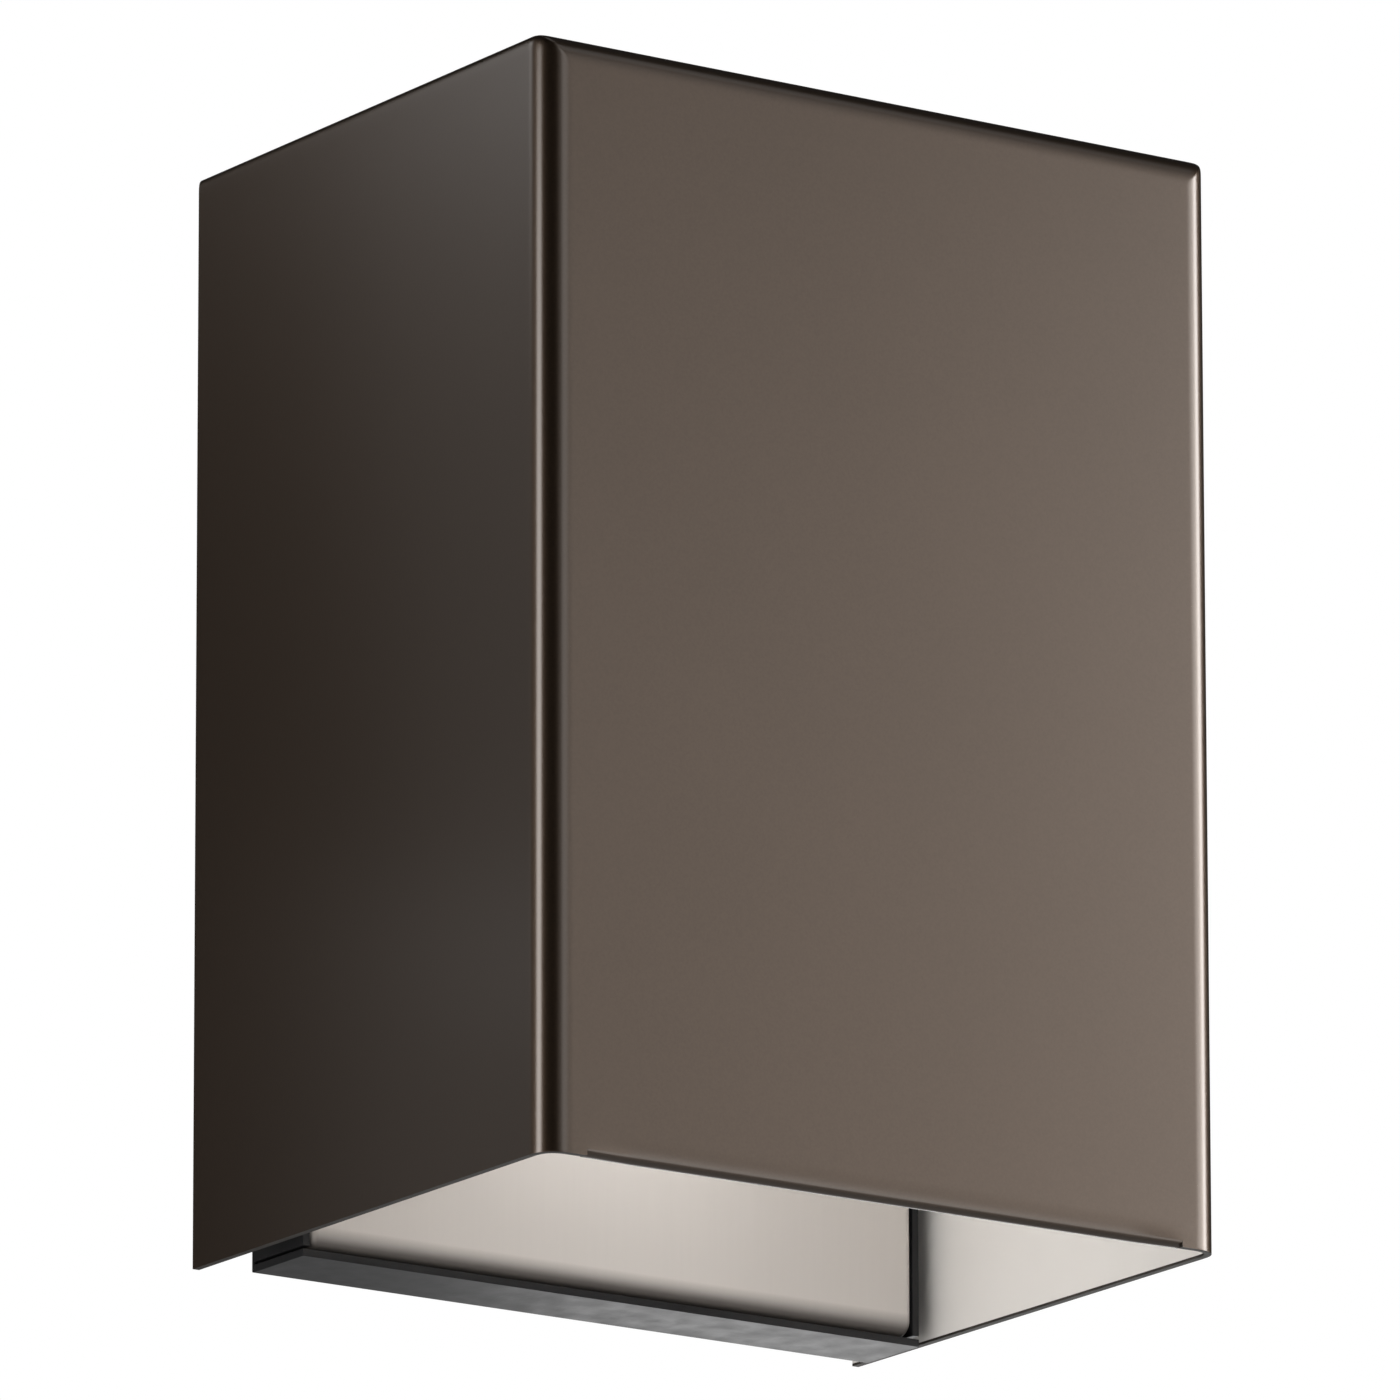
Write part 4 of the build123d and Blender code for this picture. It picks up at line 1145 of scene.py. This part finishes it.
def add_lamp(name, place, target, size, power, shape="RECTANGLE"):
    """Soft area lamp that faces a point, hidden from the camera."""
    data = bpy.data.lights.new(name, "AREA")
    data.shape = shape
    data.size, data.size_y = size
    data.energy = power
    lamp = bpy.data.objects.new(name, data)
    bpy.context.scene.collection.objects.link(lamp)
    lamp.location = place
    lamp.visible_camera = False
    aim(lamp, target)
    return lamp


def add_floor():
    """Plain pale floor, well below the object."""
    bm = bmesh.new()
    bmesh.ops.create_grid(bm, x_segments=1, y_segments=1, size=FLOOR_SIZE / 2)
    bmesh.ops.translate(bm, vec=(0, 0, FLOOR_Z), verts=bm.verts)
    s = Shader("pale_floor", Roughness=0.7)
    s.colour(s.tint(s.span(s.noise(3, 2), 0.0, 1.0), (0.79, 0.79, 0.79), (0.81, 0.81, 0.81)))
    floor = new_piece("floor", bm, [s.material])


def set_world():
    """Backdrop: white to the camera and through the lens, grey in reflections, darker above and in front."""
    world = bpy.data.worlds.new("studio")
    bpy.context.scene.world = world
    world.use_nodes = True
    tree = world.node_tree

    def node(kind, **settings):
        made = tree.nodes.new(kind)
        for key, value in settings.items():
            setattr(made, key, value)
        return made

    def ramp(value, start, end, low, high):
        made = node("ShaderNodeMapRange", interpolation_type="SMOOTHSTEP")
        tree.links.new(value, made.inputs["Value"])
        for socket, number in (("From Min", start), ("From Max", end), ("To Min", low), ("To Max", high)):
            made.inputs[socket].default_value = number
        return made.outputs["Result"]

    def mix(factor, first, second):
        made = node("ShaderNodeMix", data_type="FLOAT")
        for value, target in ((factor, made.inputs[0]), (first, made.inputs[2]), (second, made.inputs[3])):
            if isinstance(value, float):
                target.default_value = value
            else:
                tree.links.new(value, target)
        return made.outputs[0]

    direction = node("ShaderNodeSeparateXYZ")
    tree.links.new(node("ShaderNodeTexCoord").outputs["Generated"], direction.inputs[0])
    low_down = ramp(direction.outputs["Z"], *UPPER_FADE, REFLECTED_GLOW, UPPER_GLOW * REFLECTED_GLOW)
    behind = ramp(direction.outputs["Y"], *FRONT_FADE, FRONT_GLOW, 1.0)
    reflected = node("ShaderNodeMath", operation="MULTIPLY")
    tree.links.new(low_down, reflected.inputs[0])
    tree.links.new(behind, reflected.inputs[1])
    path = node("ShaderNodeLightPath")
    strength = mix(path.outputs["Is Glossy Ray"], AMBIENT_GLOW, reflected.outputs[0])
    strength = mix(path.outputs["Is Transmission Ray"], strength, BACKDROP_GLOW)
    strength = mix(path.outputs["Is Camera Ray"], strength, BACKDROP_GLOW)
    background = tree.nodes["Background"]
    background.inputs["Color"].default_value = (1.0, 1.0, 1.0, 1.0)
    tree.links.new(strength, background.inputs["Strength"])


def around(turn, rise, distance):
    """Point about the cover: degrees to the right of its front, degrees up, and metres away."""
    turn, rise = math.radians(turn), math.radians(rise)
    return cover_middle + distance * Vector((
        math.sin(turn) * math.cos(rise), -math.cos(turn) * math.cos(rise), math.sin(rise)
    ))


def add_lamp_glow():
    """Light of the lamp itself, just under its lens, which doesn't mirror in the lid."""
    low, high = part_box("lamp_lens")
    middle = (low + high) / 2
    place = Vector((middle.x, middle.y, low.z - LAMP_GLOW_GAP))
    size = (LAMP_GLOW_SIZE, LAMP_GLOW_SIZE)
    glow = add_lamp("lamp_glow", place, place + Vector(DOWNWARD), size, LAMP_GLOW_POWER, "DISK")
    glow.visible_glossy = False


add_camera()
add_floor()
set_world()
# Lamps that face the middle of the cover: name, place, width and height in metres, and power in watts
cover_lamps = (
    ("front_box", around(35, 15, 2.0), (1.0, 1.7), 2.0),
    ("front_left", around(12, 15, 2.0), (0.6, 1.7), 3.0),
    ("front_far_left", around(-4, 15, 2.0), (0.5, 1.7), 0.5),
    ("front_low", around(35, -16, 2.0), (1.0, 0.6), 2.1),
    ("front_high", around(35, 50, 2.0), (1.0, 0.6), 0.8),
    ("overhead", around(20, 80, 2.0), (1.0, 1.0), 1.0),
    ("right_glow", around(47, 8, 1.2), (0.26, 0.6), 1.3),
    ("right_strip", around(61, 7, 0.9), (0.22, 0.6), 3.3),
    ("left_strip", around(-97, 0, 0.8), (0.3, 0.6), 2.1),
    ("left_high", (-0.50, 0.45, 0.36), (0.15, 0.15), 0.105),
    ("left_near", (-0.20, 0.10, 0.09), (0.06, 0.20), 0.0067),
    ("left_low", (-0.23, 0.14, -0.03), (0.08, 0.12), 0.0057),
    ("low_fill", around(-75, -40, 1.5), (1.2, 0.8), 6.5),
    ("low_front", around(-30, -50, 1.5), (0.8, 0.8), 1.5),
)
for name, place, size, power in cover_lamps:
    add_lamp(name, place, cover_middle, size, power)
add_lamp_glow()
add_lamp("tray_kicker", (0.34, 0.33, -0.21), (0.03, -0.02, -0.09), (0.2, 0.2), 0.165)
bpy.context.scene.view_settings.view_transform = "Standard"
